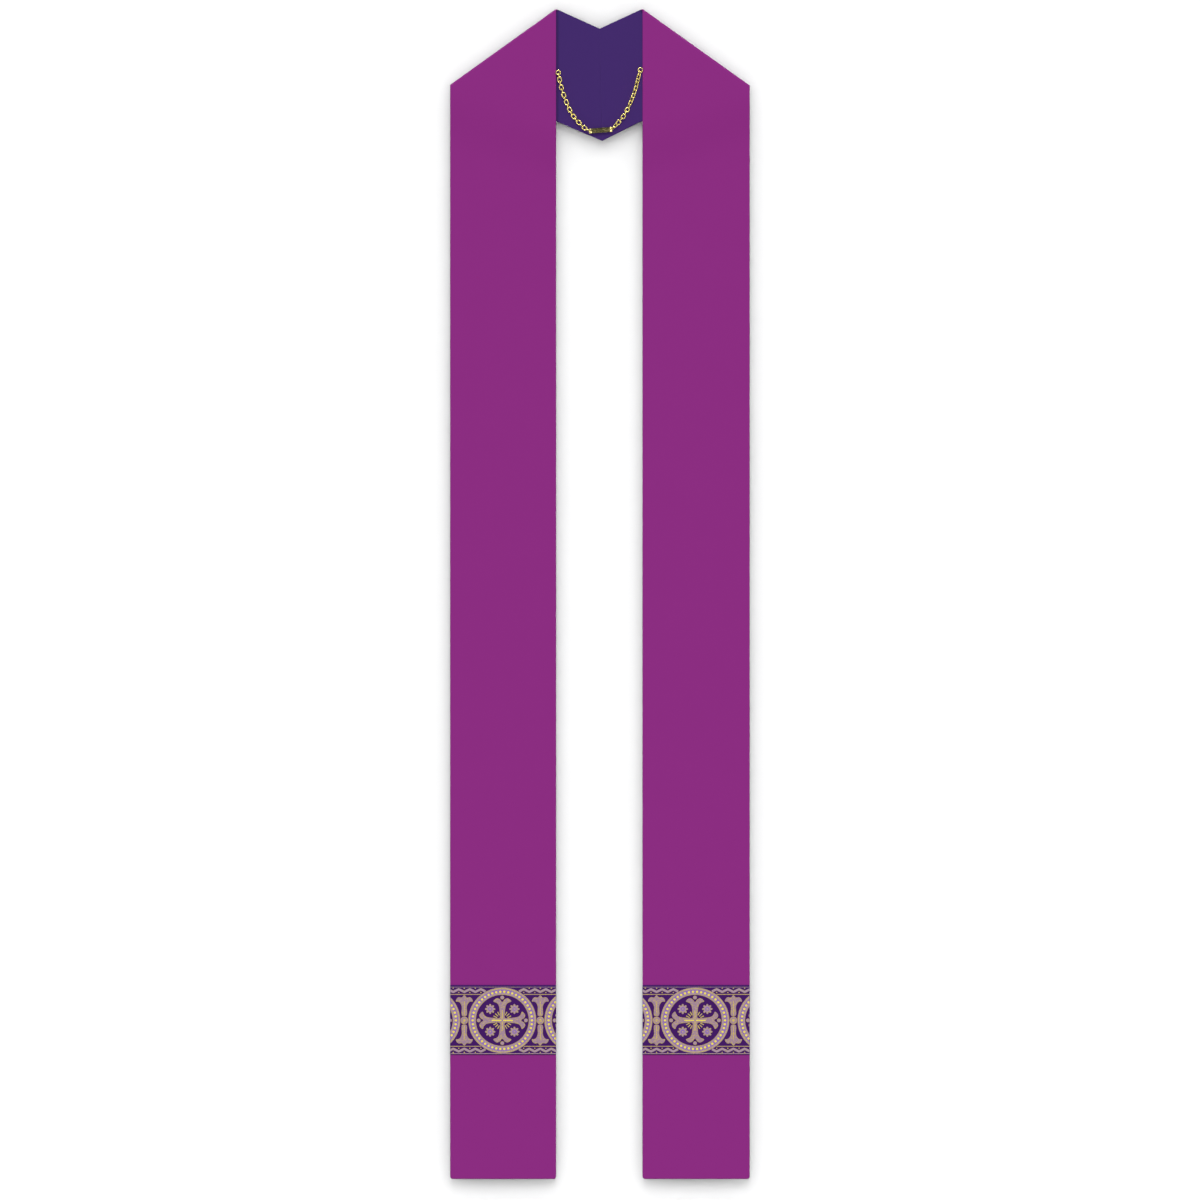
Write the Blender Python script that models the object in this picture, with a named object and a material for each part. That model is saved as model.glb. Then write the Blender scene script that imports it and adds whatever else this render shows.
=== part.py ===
"""Clerical stole, laid flat: two lined strips folded at the shoulders, an ornamental band on each, a neck chain.

Frame: X across the fronts, Y from the hems towards the neck, Z up from the surface that the stole lies on. The
origin is on that surface, under the middle of the outline. Left is -X, as the stole lies. Sizes are in metres.
"""

from __future__ import annotations

import math
from dataclasses import dataclass
from typing import NamedTuple

import bmesh
import bpy
from mathutils import Euler, Vector

# The whole outline
LENGTH = 1.317  # from the hems to the top of the shoulders
WIDTH = 0.3372  # across both fronts

# Cloth
STRIP_WALL = 0.0012  # face cloth with its interlining
LINING_WALL = 0.001
BAND_WALL = 0.001
GAP = 0.0003  # between pieces that lie on each other or meet at a seam
EDGE_ROUND = 0.0004  # how far a turned edge rounds in from the outline
HEM_CORNER = 0.003  # radius of the two corners of a hem
COLUMNS = 8  # across a strip

# Back of the neck, measured down from the top of the shoulders
SEAM_TOP = (-0.0003, 0.0223)  # across, down
SEAM_TIP = (0.0026, 0.1486)  # across, down
LINING_START = 0.01  # of the way from the fold to the seam, hidden under the front
LINING_INSET = 0.0003  # from the edges of the face cloth
NECK_STEPS = 7

# The front where it lies over the neck, and the slope back down to the surface
SLOPE_START = 0.005  # past the neck's lower edge
SLOPE_RUN = 0.02
SLOPE_FOOT = 0.168  # of the rows that fan out from the fold, down from the top of the shoulders
FAN_STEPS = 20
FOLD_STEPS = 6
PLAIN_STEPS = 3
CORNER_STEPS = 3

# Ornamental bands, measured up from the hem
BAND_BOTTOM = 0.14
BAND_HEIGHT = 0.0785
BAND_INSET = 0.0002
BAND_STEPS = 2

# Chain
WIRE = 0.0012
LINK_LENGTH = 0.0071
LINK_WIDTH = 0.0052
LINK_COUNT = 17  # on each side of the bar
LINK_END_STEPS = 5
WIRE_ROUNDNESS = 1  # six sides
RING_RADIUS = 0.0024  # to the middle of its wire
RING_STEPS = 16
RING_SIDES = 8
RING_PLAY = 0.0004  # between a ring and the first link

# Bar in the middle of the chain
BAR_LENGTH = 0.0206
BAR_HEIGHT = 0.0056
BAR_THICKNESS = 0.0015
BAR_RIM = 0.0004
BAR_RECESS = 0.00035
BAR_MIDDLE = (0.0007, 0.1369)  # across, down
BAR_TILT = math.radians(4.5)
LUG_REACH = 0.0116  # from the bar's middle to the hole of its lug
LUG_RADIUS = 0.0021
LUG_HOLE = 0.00125
LUG_THICKNESS = 0.0011
LUG_SIDES = 20

# Heights of the middle of each layer
NECK_MIDDLE = STRIP_WALL / 2
LINING_MIDDLE = STRIP_WALL + GAP + LINING_WALL / 2
RAISED_MIDDLE = STRIP_WALL + GAP + LINING_WALL + GAP + STRIP_WALL / 2
BAND_MIDDLE = STRIP_WALL + GAP + BAND_WALL / 2
FOLD_MIDDLE = (NECK_MIDDLE + RAISED_MIDDLE) / 2
FOLD_RADIUS = (RAISED_MIDDLE - NECK_MIDDLE) / 2
FOLD_REACH = FOLD_RADIUS + STRIP_WALL / 2
CHAIN_MIDDLE = STRIP_WALL + GAP + LINING_WALL + GAP + LINK_WIDTH / 2
UP = Vector((0, 0, 1))


class Bend(NamedTuple):
    """A point on the chain's line: across the stole, and down from the top of the shoulders."""

    across: float
    down: float


class Station(NamedTuple):
    """A point in the middle of a cloth wall, and the direction its face side looks in."""

    middle: Vector
    normal: Vector


@dataclass(frozen=True)
class Side:
    """One strip and its half of the neck, by their outline from above.

    Attributes:
        name: left or right.
        sign: -1 at -X, 1 at +X.
        width: Of the strip.
        shoulder_drop: From the fold's inner end down to its outer end.
        neck_depth: Down from the top of the shoulder to the neck's lower edge, at the front's inner edge.
        chain: The line of this half of the chain, from its ring to the bar.
        twist: How far each link is turned about the chain's line, in degrees, from the ring to the bar.
    """

    name: str
    sign: int
    width: float
    shoulder_drop: float
    neck_depth: float
    chain: tuple[Bend, ...]
    twist: tuple[float, ...]

    @property
    def outer_x(self) -> float:
        """The strip's outer edge."""
        return self.sign * WIDTH / 2

    @property
    def inner_x(self) -> float:
        """The strip's inner edge, along the neck opening."""
        return self.outer_x - self.sign * self.width

    @property
    def fold_inner(self) -> Vector:
        """The inner end of the shoulder's fold, from above."""
        return Vector((self.inner_x, LENGTH / 2))

    @property
    def fold_outer(self) -> Vector:
        """The outer end of the shoulder's fold, from above."""
        return Vector((self.outer_x, LENGTH / 2 - self.shoulder_drop))

    @property
    def fold_outwards(self) -> Vector:
        """The direction across the fold, away from the cloth."""
        along = (self.fold_inner - self.fold_outer).normalized()
        return Vector((self.sign * along.y, abs(along.x)))

    @property
    def neck_edge(self) -> Vector:
        """Where the neck's lower edge comes out from under the front."""
        return Vector((self.inner_x, LENGTH / 2 - self.neck_depth))


SIDES = (
    Side(
        name="left",
        sign=-1,
        width=0.1193,
        shoulder_drop=0.0855,
        neck_depth=0.1264,
        chain=(
            Bend(across=-0.0469, down=0.0718),
            Bend(across=-0.0433, down=0.0887),
            Bend(across=-0.0377, down=0.1050),
            Bend(across=-0.0300, down=0.1205),
            Bend(across=-0.0180, down=0.1335),
        ),
        twist=(0, 5, 5, 5, 4, 3, 8, 14, 18, 20, 20, 20, 18, 16, 12, 8, 0),
    ),
    Side(
        name="right",
        sign=1,
        width=0.1207,
        shoulder_drop=0.0861,
        neck_depth=0.1259,
        chain=(
            Bend(across=0.0455, down=0.0689),
            Bend(across=0.0420, down=0.0824),
            Bend(across=0.0387, down=0.0944),
            Bend(across=0.0333, down=0.1079),
            Bend(across=0.0264, down=0.1211),
            Bend(across=0.0160, down=0.1330),
        ),
        twist=(28, 40, 45, 45, 45, 45, 45, 45, 46, 62, 85, 90, 90, 88, 74, 46, 18),
    ),
)


def clear_scene() -> None:
    """Removes every object of the scene that the script starts in."""
    for obj in list(bpy.data.objects):
        bpy.data.objects.remove(obj, do_unlink=True)


def material(name: str, colour: tuple[float, float, float], roughness: float, metallic: float = 0.0):
    """A plain Principled material.

    Args:
        name: Of the material.
        colour: Linear red, green and blue.
        roughness: Of the surface.
        metallic: 1 for bare metal.
    """
    made = bpy.data.materials.new(name)
    made.use_nodes = True
    shader = made.node_tree.nodes["Principled BSDF"]
    shader.inputs["Base Color"].default_value = (*colour, 1)
    shader.inputs["Roughness"].default_value = roughness
    shader.inputs["Metallic"].default_value = metallic
    return made


def plan_point(across: float, down: float) -> Vector:
    """The point this far across, and this far down from the top of the shoulders, seen from above."""
    return Vector((across, LENGTH / 2 - down))


def ease(share: float) -> float:
    """A smooth step from 0 to 1."""
    share = min(max(share, 0.0), 1.0)
    return share * share * (3 - 2 * share)


def crossing(start: Vector, end: Vector, side: Side, inwards: float) -> Vector:
    """Where the line from start to end meets the line that lies this far in from the fold, seen from above."""
    outwards = side.fold_outwards
    reached = (start - side.fold_inner).dot(outwards) + inwards
    step = (end - start).dot(outwards)
    return start - (end - start) * (reached / step)


def spread(outer: Vector, inner: Vector) -> list[Vector]:
    """Points across a strip, seen from above: its two rounded edges and the columns between them."""
    edge = EDGE_ROUND / (inner - outer).length
    shares = [0.0, *(edge + (1 - 2 * edge) * column / COLUMNS for column in range(COLUMNS + 1)), 1.0]
    return [outer.lerp(inner, share) for share in shares]


def front_middle(side: Side, point: Vector) -> float:
    """The height of the middle of the front's wall: on the surface, or raised where it lies over the neck."""
    edge = (side.neck_edge - side.fold_outer).normalized()
    away = point - side.fold_outer
    above = side.sign * (away.x * edge.y - away.y * edge.x)
    return NECK_MIDDLE + (RAISED_MIDDLE - NECK_MIDDLE) * ease((above + SLOPE_START + SLOPE_RUN) / SLOPE_RUN)


def front_row(side: Side, outer: Vector, inner: Vector) -> list[Station]:
    """Stations across the front, which looks up."""
    return [Station(point.to_3d() + UP * front_middle(side, point), UP) for point in spread(outer, inner)]


def front_rows(side: Side) -> list[list[Station]]:
    """Stations of the whole front, from the hem to the start of the fold."""
    rows = []
    hem_y = -LENGTH / 2
    for step in range(CORNER_STEPS + 1):
        turn = math.pi / 2 * step / CORNER_STEPS
        y = hem_y + HEM_CORNER * (1 - math.cos(turn))
        inset = side.sign * HEM_CORNER * (1 - math.sin(turn))
        rows.append(front_row(side, Vector((side.outer_x - inset, y)), Vector((side.inner_x + inset, y))))
    plain_bottom = hem_y + HEM_CORNER
    foot_y = LENGTH / 2 - SLOPE_FOOT
    for step in range(1, PLAIN_STEPS + 1):
        y = plain_bottom + (foot_y - plain_bottom) * step / PLAIN_STEPS
        rows.append(front_row(side, Vector((side.outer_x, y)), Vector((side.inner_x, y))))
    outer_foot, inner_foot = Vector((side.outer_x, foot_y)), Vector((side.inner_x, foot_y))
    outer_end = crossing(side.fold_outer, outer_foot, side, FOLD_REACH)
    inner_end = crossing(side.fold_inner, inner_foot, side, FOLD_REACH)
    for step in range(1, FAN_STEPS + 1):
        share = step / FAN_STEPS
        rows.append(front_row(side, outer_foot.lerp(outer_end, share), inner_foot.lerp(inner_end, share)))
    return rows


def neck_ends(side: Side, share: float) -> tuple[Vector, Vector]:
    """Both ends of a line across the neck piece, seen from above.

    Args:
        side: Whose half of the neck it is.
        share: 0 at the fold, 1 at the seam in the middle of the back.

    Returns:
        The points on its lower and on its upper edge.
    """
    seam_gap = Vector((side.sign * GAP / 2, 0))
    tip, top = plan_point(*SEAM_TIP) + seam_gap, plan_point(*SEAM_TOP) + seam_gap
    lower_start = crossing(side.fold_outer, side.neck_edge, side, FOLD_REACH)
    upper_start = crossing(side.fold_inner, top, side, FOLD_REACH)
    hidden, shown = (side.neck_edge - lower_start).length, (tip - side.neck_edge).length
    bend = hidden / (hidden + shown)
    if share <= bend:
        lower = lower_start.lerp(side.neck_edge, share / bend)
    else:
        lower = side.neck_edge.lerp(tip, (share - bend) / (1 - bend))
    return lower, upper_start.lerp(top, share)


def fold_rows(side: Side) -> list[list[Station]]:
    """Stations round the shoulder's fold, between the front and the neck, without either's own first row."""
    outwards = side.fold_outwards.to_3d()
    foot = plan_point(0, SLOPE_FOOT).y
    front_outer = crossing(side.fold_outer, Vector((side.outer_x, foot)), side, FOLD_REACH)
    front_inner = crossing(side.fold_inner, Vector((side.inner_x, foot)), side, FOLD_REACH)
    neck_outer, neck_inner = neck_ends(side, 0)
    rows = []
    for step in range(1, FOLD_STEPS):
        share = step / FOLD_STEPS
        turn = math.pi * share
        normal = outwards * math.sin(turn) + UP * math.cos(turn)
        centre = UP * FOLD_MIDDLE
        points = spread(front_outer.lerp(neck_outer, share), front_inner.lerp(neck_inner, share))
        rows.append([Station(point.to_3d() + centre + normal * FOLD_RADIUS, normal) for point in points])
    return rows


def neck_row(side: Side, share: float, height: float, normal: Vector, inset: float = 0.0) -> list[Station]:
    """Stations across the back of the neck, this share of the way from the fold to the seam."""
    lower, upper = neck_ends(side, share)
    margin = (upper - lower).normalized() * inset
    return [Station(point.to_3d() + UP * height, normal) for point in spread(lower + margin, upper - margin)]


def wall_object(name: str, rows: list[list[Station]], wall: float, finish) -> bpy.types.Object:
    """A cloth wall through rows of stations, with rounded edges and flat ends.

    Args:
        name: Of the object.
        rows: Stations from edge to edge. The first and last of each row are the wall's rounded edges.
        wall: Its thickness.
        finish: Its material.
    """
    shape = bmesh.new()
    rings = []
    for first, *between, last in rows:
        face = [station.middle + station.normal * wall / 2 for station in between]
        back = [station.middle - station.normal * wall / 2 for station in between]
        ring = [first.middle, *face, last.middle, *reversed(back)]
        rings.append([shape.verts.new(point) for point in ring])
    around = len(rings[0])
    for ring, following in zip(rings, rings[1:]):
        for here in range(around):
            after = (here + 1) % around
            shape.faces.new((ring[here], ring[after], following[after], following[here]))
    for ring in (rings[0], rings[-1]):
        for step in range(around // 2):
            corners = (ring[step], ring[step + 1], ring[-step - 1], ring[-step])
            shape.faces.new(dict.fromkeys(corners))
    bmesh.ops.recalc_face_normals(shape, faces=shape.faces)
    mesh = bpy.data.meshes.new(name)
    shape.to_mesh(mesh)
    shape.free()
    mesh.materials.append(finish)
    mesh.shade_smooth()
    mesh.set_sharp_from_angle(angle=math.radians(40))
    made = bpy.data.objects.new(name, mesh)
    bpy.context.collection.objects.link(made)
    return made


def make_strip(side: Side, finish) -> None:
    """A strip of face cloth in one piece: the front, the shoulder's fold and half of the back of the neck."""
    neck = [neck_row(side, step / NECK_STEPS, NECK_MIDDLE, -UP) for step in range(NECK_STEPS + 1)]
    wall_object(f"{side.name}_strip", front_rows(side) + fold_rows(side) + neck, STRIP_WALL, finish)


def make_lining(side: Side, finish) -> None:
    """The lining of the neck, which lies on the wrong side of the face cloth."""
    rows = []
    for step in range(NECK_STEPS + 1):
        share = LINING_START + (1 - LINING_START) * step / NECK_STEPS
        rows.append(neck_row(side, share, LINING_MIDDLE, UP, LINING_INSET))
    wall_object(f"{side.name}_lining", rows, LINING_WALL, finish)


def make_band(side: Side, finish) -> None:
    """The ornamental band that is sewn across the front above its hem."""
    rows = []
    inset = side.sign * BAND_INSET
    for step in range(BAND_STEPS + 1):
        y = -LENGTH / 2 + BAND_BOTTOM + BAND_HEIGHT * step / BAND_STEPS
        points = spread(Vector((side.outer_x - inset, y)), Vector((side.inner_x + inset, y)))
        rows.append([Station(point.to_3d() + UP * BAND_MIDDLE, UP) for point in points])
    wall_object(f"{side.name}_band", rows, BAND_WALL, finish)


class ChainLine:
    """A smooth line through the bends of one half of the chain, read by the distance from its start."""

    SAMPLES = 24  # between two bends

    def __init__(self, bends: list[Vector]) -> None:
        """Traces the line.

        Args:
            bends: Its points, seen from above.
        """
        before, after = 2 * bends[0] - bends[1], 2 * bends[-1] - bends[-2]
        knots = [before, *bends, after]
        self.points = [bends[0]]
        for p0, p1, p2, p3 in zip(knots, knots[1:], knots[2:], knots[3:]):
            for step in range(1, self.SAMPLES + 1):
                self.points.append(self.between(p0, p1, p2, p3, step / self.SAMPLES))
        self.distances = [0.0]
        for here, there in zip(self.points, self.points[1:]):
            self.distances.append(self.distances[-1] + (there - here).length)

    @staticmethod
    def between(p0: Vector, p1: Vector, p2: Vector, p3: Vector, t: float) -> Vector:
        """A point between p1 and p2 on the curve through all four."""
        straight = 2 * p1 + (p2 - p0) * t
        curved = (2 * p0 - 5 * p1 + 4 * p2 - p3) * t**2 + (3 * p1 - p0 - 3 * p2 + p3) * t**3
        return (straight + curved) / 2

    @property
    def length(self) -> float:
        """The whole line's length."""
        return self.distances[-1]

    def at(self, distance: float) -> Vector:
        """The point this far along the line."""
        index = next(i for i, reached in enumerate(self.distances) if reached >= min(distance, self.length))
        if index == 0:
            return self.points[0].copy()
        start, end = self.distances[index - 1], self.distances[index]
        return self.points[index - 1].lerp(self.points[index], (distance - start) / (end - start))

    def heading(self, distance: float) -> float:
        """The line's direction there, as an angle from +X."""
        step = LINK_LENGTH / 4
        ahead = self.at(distance + step) - self.at(distance - step)
        return math.atan2(ahead.y, ahead.x)


def link_curve(finish) -> bpy.types.Curve:
    """One oval link of round wire, lying flat with its length along X."""
    curve = bpy.data.curves.new("link", "CURVE")
    curve.dimensions = "3D"
    curve.bevel_depth = WIRE / 2
    curve.bevel_resolution = WIRE_ROUNDNESS
    radius, straight = (LINK_WIDTH - WIRE) / 2, (LINK_LENGTH - LINK_WIDTH) / 2
    spline = curve.splines.new("POLY")
    spline.points.add(2 * (LINK_END_STEPS + 1) - 1)
    for index, point in enumerate(spline.points):
        end, step = divmod(index, LINK_END_STEPS + 1)
        turn = math.pi * (end - 0.5 + step / LINK_END_STEPS)
        shift = straight if end == 0 else -straight
        point.co = (shift + radius * math.cos(turn), radius * math.sin(turn), 0, 1)
    spline.use_cyclic_u = True
    curve.materials.append(finish)
    return curve


def link_roll(side: Side, number: int) -> float:
    """How far a link is turned about the chain's line. Every other one stands on its edge."""
    upright = math.pi / 2 if number % 2 else 0.0
    return upright + math.radians(side.twist[number - 1])


def lug_hole(side: Side) -> Vector:
    """The middle of the hole in the bar's lug on this side, seen from above."""
    along = Vector((math.cos(BAR_TILT), math.sin(BAR_TILT)))
    return plan_point(*BAR_MIDDLE) + along * side.sign * LUG_REACH


def make_chain_half(side: Side, hinge: bpy.types.Object, curve: bpy.types.Curve, finish) -> None:
    """A ring and the links from it to the bar, all hung on the chain's hinge."""
    bends = [plan_point(*bend) for bend in side.chain] + [lug_hole(side)]
    line = ChainLine(bends)
    bpy.ops.mesh.primitive_torus_add(
        major_radius=RING_RADIUS, minor_radius=WIRE / 2, major_segments=RING_STEPS, minor_segments=RING_SIDES
    )
    ring = bpy.context.object
    ring.name = f"{side.name}_ring"
    ring.data.materials.append(finish)
    ring.data.shade_smooth()
    hang(ring, hinge, line.at(0))
    half_link = (LINK_LENGTH - WIRE) / 2
    first = RING_RADIUS - WIRE - RING_PLAY + half_link
    last = line.length - half_link
    for number in range(1, LINK_COUNT + 1):
        distance = first + (last - first) * (number - 1) / (LINK_COUNT - 1)
        link = bpy.data.objects.new(f"{side.name}_link_{number:02d}", curve)
        bpy.context.collection.objects.link(link)
        link.rotation_euler = Euler((link_roll(side, number), 0, line.heading(distance)), "XYZ")
        hang(link, hinge, line.at(distance))


def hang(piece: bpy.types.Object, hinge: bpy.types.Object, point: Vector) -> None:
    """Places a piece of the chain at a point seen from above, and parents it to the hinge."""
    piece.parent = hinge
    piece.location = point.to_3d() + UP * CHAIN_MIDDLE - hinge.location


def cutter(name: str, radius: float, depth: float, at: float) -> bpy.types.Object:
    """A hidden upright cylinder on the bar's long axis, for a Boolean."""
    bpy.ops.mesh.primitive_cylinder_add(vertices=LUG_SIDES, radius=radius, depth=depth, location=(at, 0, 0))
    made = bpy.context.object
    made.name = name
    made.hide_render = True
    made.display_type = "WIRE"
    return made


def make_bar(hinge: bpy.types.Object, finish) -> None:
    """The bar in the middle of the chain: a plain recess inside a rim, and a holed lug at each end."""
    shape = bmesh.new()
    bmesh.ops.create_cube(shape, size=1)
    bmesh.ops.scale(shape, vec=(BAR_LENGTH, BAR_HEIGHT, BAR_THICKNESS), verts=shape.verts)
    top = max(shape.faces, key=lambda face: face.calc_center_median().z)
    bmesh.ops.inset_region(shape, faces=[top], thickness=BAR_RIM)
    bmesh.ops.inset_region(shape, faces=[top], thickness=BAR_RIM / 8, depth=-BAR_RECESS)
    mesh = bpy.data.meshes.new("chain_bar")
    shape.to_mesh(mesh)
    shape.free()
    mesh.materials.append(finish)
    bar = bpy.data.objects.new("chain_bar", mesh)
    bpy.context.collection.objects.link(bar)
    for side in SIDES:
        for operation, radius, depth in (
            ("UNION", LUG_RADIUS, LUG_THICKNESS),
            ("DIFFERENCE", LUG_HOLE, 2 * BAR_THICKNESS),
        ):
            tool = cutter(f"{side.name}_lug_{operation.lower()}", radius, depth, side.sign * LUG_REACH)
            boolean = bar.modifiers.new(tool.name, "BOOLEAN")
            boolean.operation = operation
            boolean.object = tool
            tool.parent = bar
    bar.rotation_euler = Euler((0, 0, BAR_TILT), "XYZ")
    hang(bar, hinge, plan_point(*BAR_MIDDLE))


def make_hinge() -> bpy.types.Object:
    """An empty on the line through both rings, about which the chain swings. They are sewn on by their sides."""
    rings = [plan_point(*side.chain[0]) for side in SIDES]
    hinge = bpy.data.objects.new("chain_hinge", None)
    bpy.context.collection.objects.link(hinge)
    hinge.location = ((rings[0] + rings[1]) / 2).to_3d() + UP * CHAIN_MIDDLE
    return hinge


def main() -> None:
    """Models the stole."""
    clear_scene()
    face = material("face_cloth", (0.258, 0.026, 0.219), 0.62)
    lining = material("lining_cloth", (0.060, 0.026, 0.153), 0.5)
    band = material("band_cloth", (0.063, 0.013, 0.156), 0.55)
    gold = material("gold_metal", (0.78, 0.6, 0.18), 0.28, 1.0)
    for side in SIDES:
        make_strip(side, face)
        make_lining(side, lining)
        make_band(side, band)
    hinge = make_hinge()
    curve = link_curve(gold)
    for side in SIDES:
        make_chain_half(side, hinge, curve, gold)
    make_bar(hinge, gold)


if __name__ == "__main__":
    main()
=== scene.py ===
"""Looks of a clerical stole that lies flat: its cloth and lining, the ornamental bands and the neck chain.

Everything is in metres, in the frame of the solids: X across the fronts, Y from the hems towards the neck,
and Z up from the surface that the stole lies on. Left is -X, as the stole lies.
"""

from __future__ import annotations

import contextlib
import functools
import logging
import math
from collections.abc import Iterable, Iterator, Mapping, Sequence
from dataclasses import dataclass, replace
from enum import Enum
from typing import NamedTuple

import bmesh
import bpy
from mathutils import Matrix, Vector

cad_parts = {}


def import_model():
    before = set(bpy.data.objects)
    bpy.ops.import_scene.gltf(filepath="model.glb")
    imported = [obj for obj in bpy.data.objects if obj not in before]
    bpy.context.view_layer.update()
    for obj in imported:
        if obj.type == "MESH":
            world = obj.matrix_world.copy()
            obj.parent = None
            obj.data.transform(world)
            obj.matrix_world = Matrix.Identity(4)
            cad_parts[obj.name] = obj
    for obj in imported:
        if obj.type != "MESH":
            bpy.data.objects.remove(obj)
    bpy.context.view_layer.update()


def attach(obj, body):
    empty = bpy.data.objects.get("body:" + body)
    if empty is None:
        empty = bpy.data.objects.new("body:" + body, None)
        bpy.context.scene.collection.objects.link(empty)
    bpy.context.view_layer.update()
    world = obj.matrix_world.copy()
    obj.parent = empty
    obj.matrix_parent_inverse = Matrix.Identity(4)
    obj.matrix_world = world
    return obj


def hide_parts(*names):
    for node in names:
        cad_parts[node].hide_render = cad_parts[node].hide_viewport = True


LOG = logging.getLogger("stole")

Colour = tuple[float, float, float]
Size = tuple[float, float, float]  # along X, Y and Z
Point = tuple[float, float]  # across and along, or across and down
Pair = tuple[float, float]
Outline = list[Vector]
Socket = bpy.types.NodeSocket
Piece = bpy.types.Object
Pieces = Sequence[Piece]

UP = Vector((0, 0, 1))
GRAIN_MAP = "cloth"  # the UV map that holds each point's place on the flat cut, in metres
TINY = 1e-6

# The whole outline
LENGTH = 1.317  # from the hems to the top of the shoulders
WIDTH = 0.3372  # across both fronts

# Layers, from the surface up
STRIP_WALL = 0.0012
LINING_WALL = 0.001
GAP = 0.0003
NECK_MIDDLE = STRIP_WALL / 2
RAISED_MIDDLE = STRIP_WALL + GAP + LINING_WALL + GAP + STRIP_WALL / 2
FOLD_MIDDLE = (NECK_MIDDLE + RAISED_MIDDLE) / 2
FOLD_RADIUS = (RAISED_MIDDLE - NECK_MIDDLE) / 2
FOLD_REACH = FOLD_RADIUS + STRIP_WALL / 2

# Back of the neck, measured down from the top of the shoulders
SEAM_TOP = (-0.0003, 0.0223)  # across, down
SEAM_TIP = (0.0026, 0.1486)  # across, down

# The wire of the chain
WIRE = 0.0012
LINK_LENGTH = 0.0071
LINK_WIDTH = 0.0052
CHAIN_MIDDLE = STRIP_WALL + GAP + LINING_WALL + GAP + LINK_WIDTH / 2


# ---------- finishes


class Signal:
    """A number that a node gives, on which Python's arithmetic adds more nodes."""

    def __init__(self, bench: Bench, socket: Socket) -> None:
        """Wraps a socket of the material on the bench."""
        self.bench = bench
        self.socket = socket

    def maths(self, operation: str, *values: Signal | float) -> Signal:
        """A Math node on these values."""
        node = self.bench.add("ShaderNodeMath", {"operation": operation}, dict(enumerate(values)))
        return Signal(self.bench, node.outputs[0])

    def __add__(self, other: Signal | float) -> Signal:
        """The sum."""
        return self.maths("ADD", self, other)

    def __sub__(self, other: Signal | float) -> Signal:
        """This less the other."""
        return self.maths("SUBTRACT", self, other)

    def __rsub__(self, other: Signal | float) -> Signal:
        """The other less this."""
        return self.maths("SUBTRACT", other, self)

    def __mul__(self, other: Signal | float) -> Signal:
        """The product."""
        return self.maths("MULTIPLY", self, other)

    def sine(self) -> Signal:
        """Its sine."""
        return self.maths("SINE", self)

    def absolute(self) -> Signal:
        """Its size without the sign."""
        return self.maths("ABSOLUTE", self)

    def step(self, low: float, high: float) -> Signal:
        """A smooth step from 0 at low to 1 at high."""
        node = self.bench.add(
            "ShaderNodeMapRange",
            {"interpolation_type": "SMOOTHSTEP"},
            {"Value": self, "From Min": low, "From Max": high},
        )
        return Signal(self.bench, node.outputs[0])

    def covering(self, share: float, spread: float, soft: float) -> Signal:
        """1 on the parts where this noise is high, and 0 elsewhere.

        Args:
            share: About how much of the surface those parts take, from 0 to 1.
            spread: How far the noise reaches from end to end.
            soft: Half the width of the step between 0 and 1.
        """
        edge = 0.5 + spread * (0.5 - share)
        return self.step(edge - soft, edge + soft)


class Bench:
    """One material with its Principled shader, on which a finish lays out its nodes."""

    MIX_FACTOR, MIX_A, MIX_B, MIX_RESULT = 0, 6, 7, 2  # sockets of a Mix node that mixes colours

    def __init__(self, name: str) -> None:
        """Starts a material of this name."""
        self.material = bpy.data.materials.new(name)
        self.material.use_nodes = True
        self.tree = self.material.node_tree
        self.shader = self.tree.nodes["Principled BSDF"]

    def add(
        self,
        kind: str,
        settings: Mapping[str, object] | None = None,
        sockets: Mapping[str | int, object] | None = None,
    ) -> bpy.types.Node:
        """Adds a node.

        Args:
            kind: Its type.
            settings: Its properties, set first.
            sockets: A value or a link for each of its inputs, by name or index.
        """
        node = self.tree.nodes.new(kind)
        for name, value in (settings or {}).items():
            setattr(node, name, value)
        for name, value in (sockets or {}).items():
            self.plug(node.inputs[name], value)
        return node

    def plug(self, socket: Socket, value: object) -> None:
        """Sets an input to a value, or links it."""
        if isinstance(value, Signal):
            value = value.socket
        if isinstance(value, Socket):
            self.tree.links.new(value, socket)
        else:
            socket.default_value = value

    def finish(self, sockets: Mapping[str, object]) -> bpy.types.Material:
        """Sets the shader's inputs and gives the material."""
        for name, value in sockets.items():
            self.plug(self.shader.inputs[name], value)
        return self.material

    def blend(self, factor: Signal, *ends: Colour | Socket) -> Socket:
        """A colour that goes from the first end to the second as the factor goes from 0 to 1."""
        low, high = (end if isinstance(end, Socket) else (*end, 1) for end in ends)
        node = self.add(
            "ShaderNodeMix",
            {"data_type": "RGBA"},
            {self.MIX_FACTOR: factor, self.MIX_A: low, self.MIX_B: high},
        )
        return node.outputs[self.MIX_RESULT]

    def noise(self, place: Socket, size: float, detail: float = 2) -> Signal:
        """Noise from 0 to 1 with patches of about this size, in metres."""
        node = self.add("ShaderNodeTexNoise", None, {"Vector": place, "Scale": 1 / size, "Detail": detail})
        return Signal(self, node.outputs["Fac"])

    def bump(self, height: Signal, depth: float) -> Socket:
        """The normal of a relief this deep, in metres."""
        node = self.add("ShaderNodeBump", None, {"Strength": 1, "Distance": depth, "Height": height})
        return node.outputs["Normal"]

    def object_place(self) -> Socket:
        """The point's place on its object, in metres."""
        return self.add("ShaderNodeTexCoord").outputs["Object"]

    def grain_place(self) -> Socket:
        """The point's place on the flat cut, in metres."""
        return self.add("ShaderNodeUVMap", {"uv_map": GRAIN_MAP}).outputs["UV"]

    def axes(self, place: Socket) -> list[Signal]:
        """The separate coordinates of a place."""
        node = self.add("ShaderNodeSeparateXYZ", None, {"Vector": place})
        return [Signal(self, output) for output in node.outputs]


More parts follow.
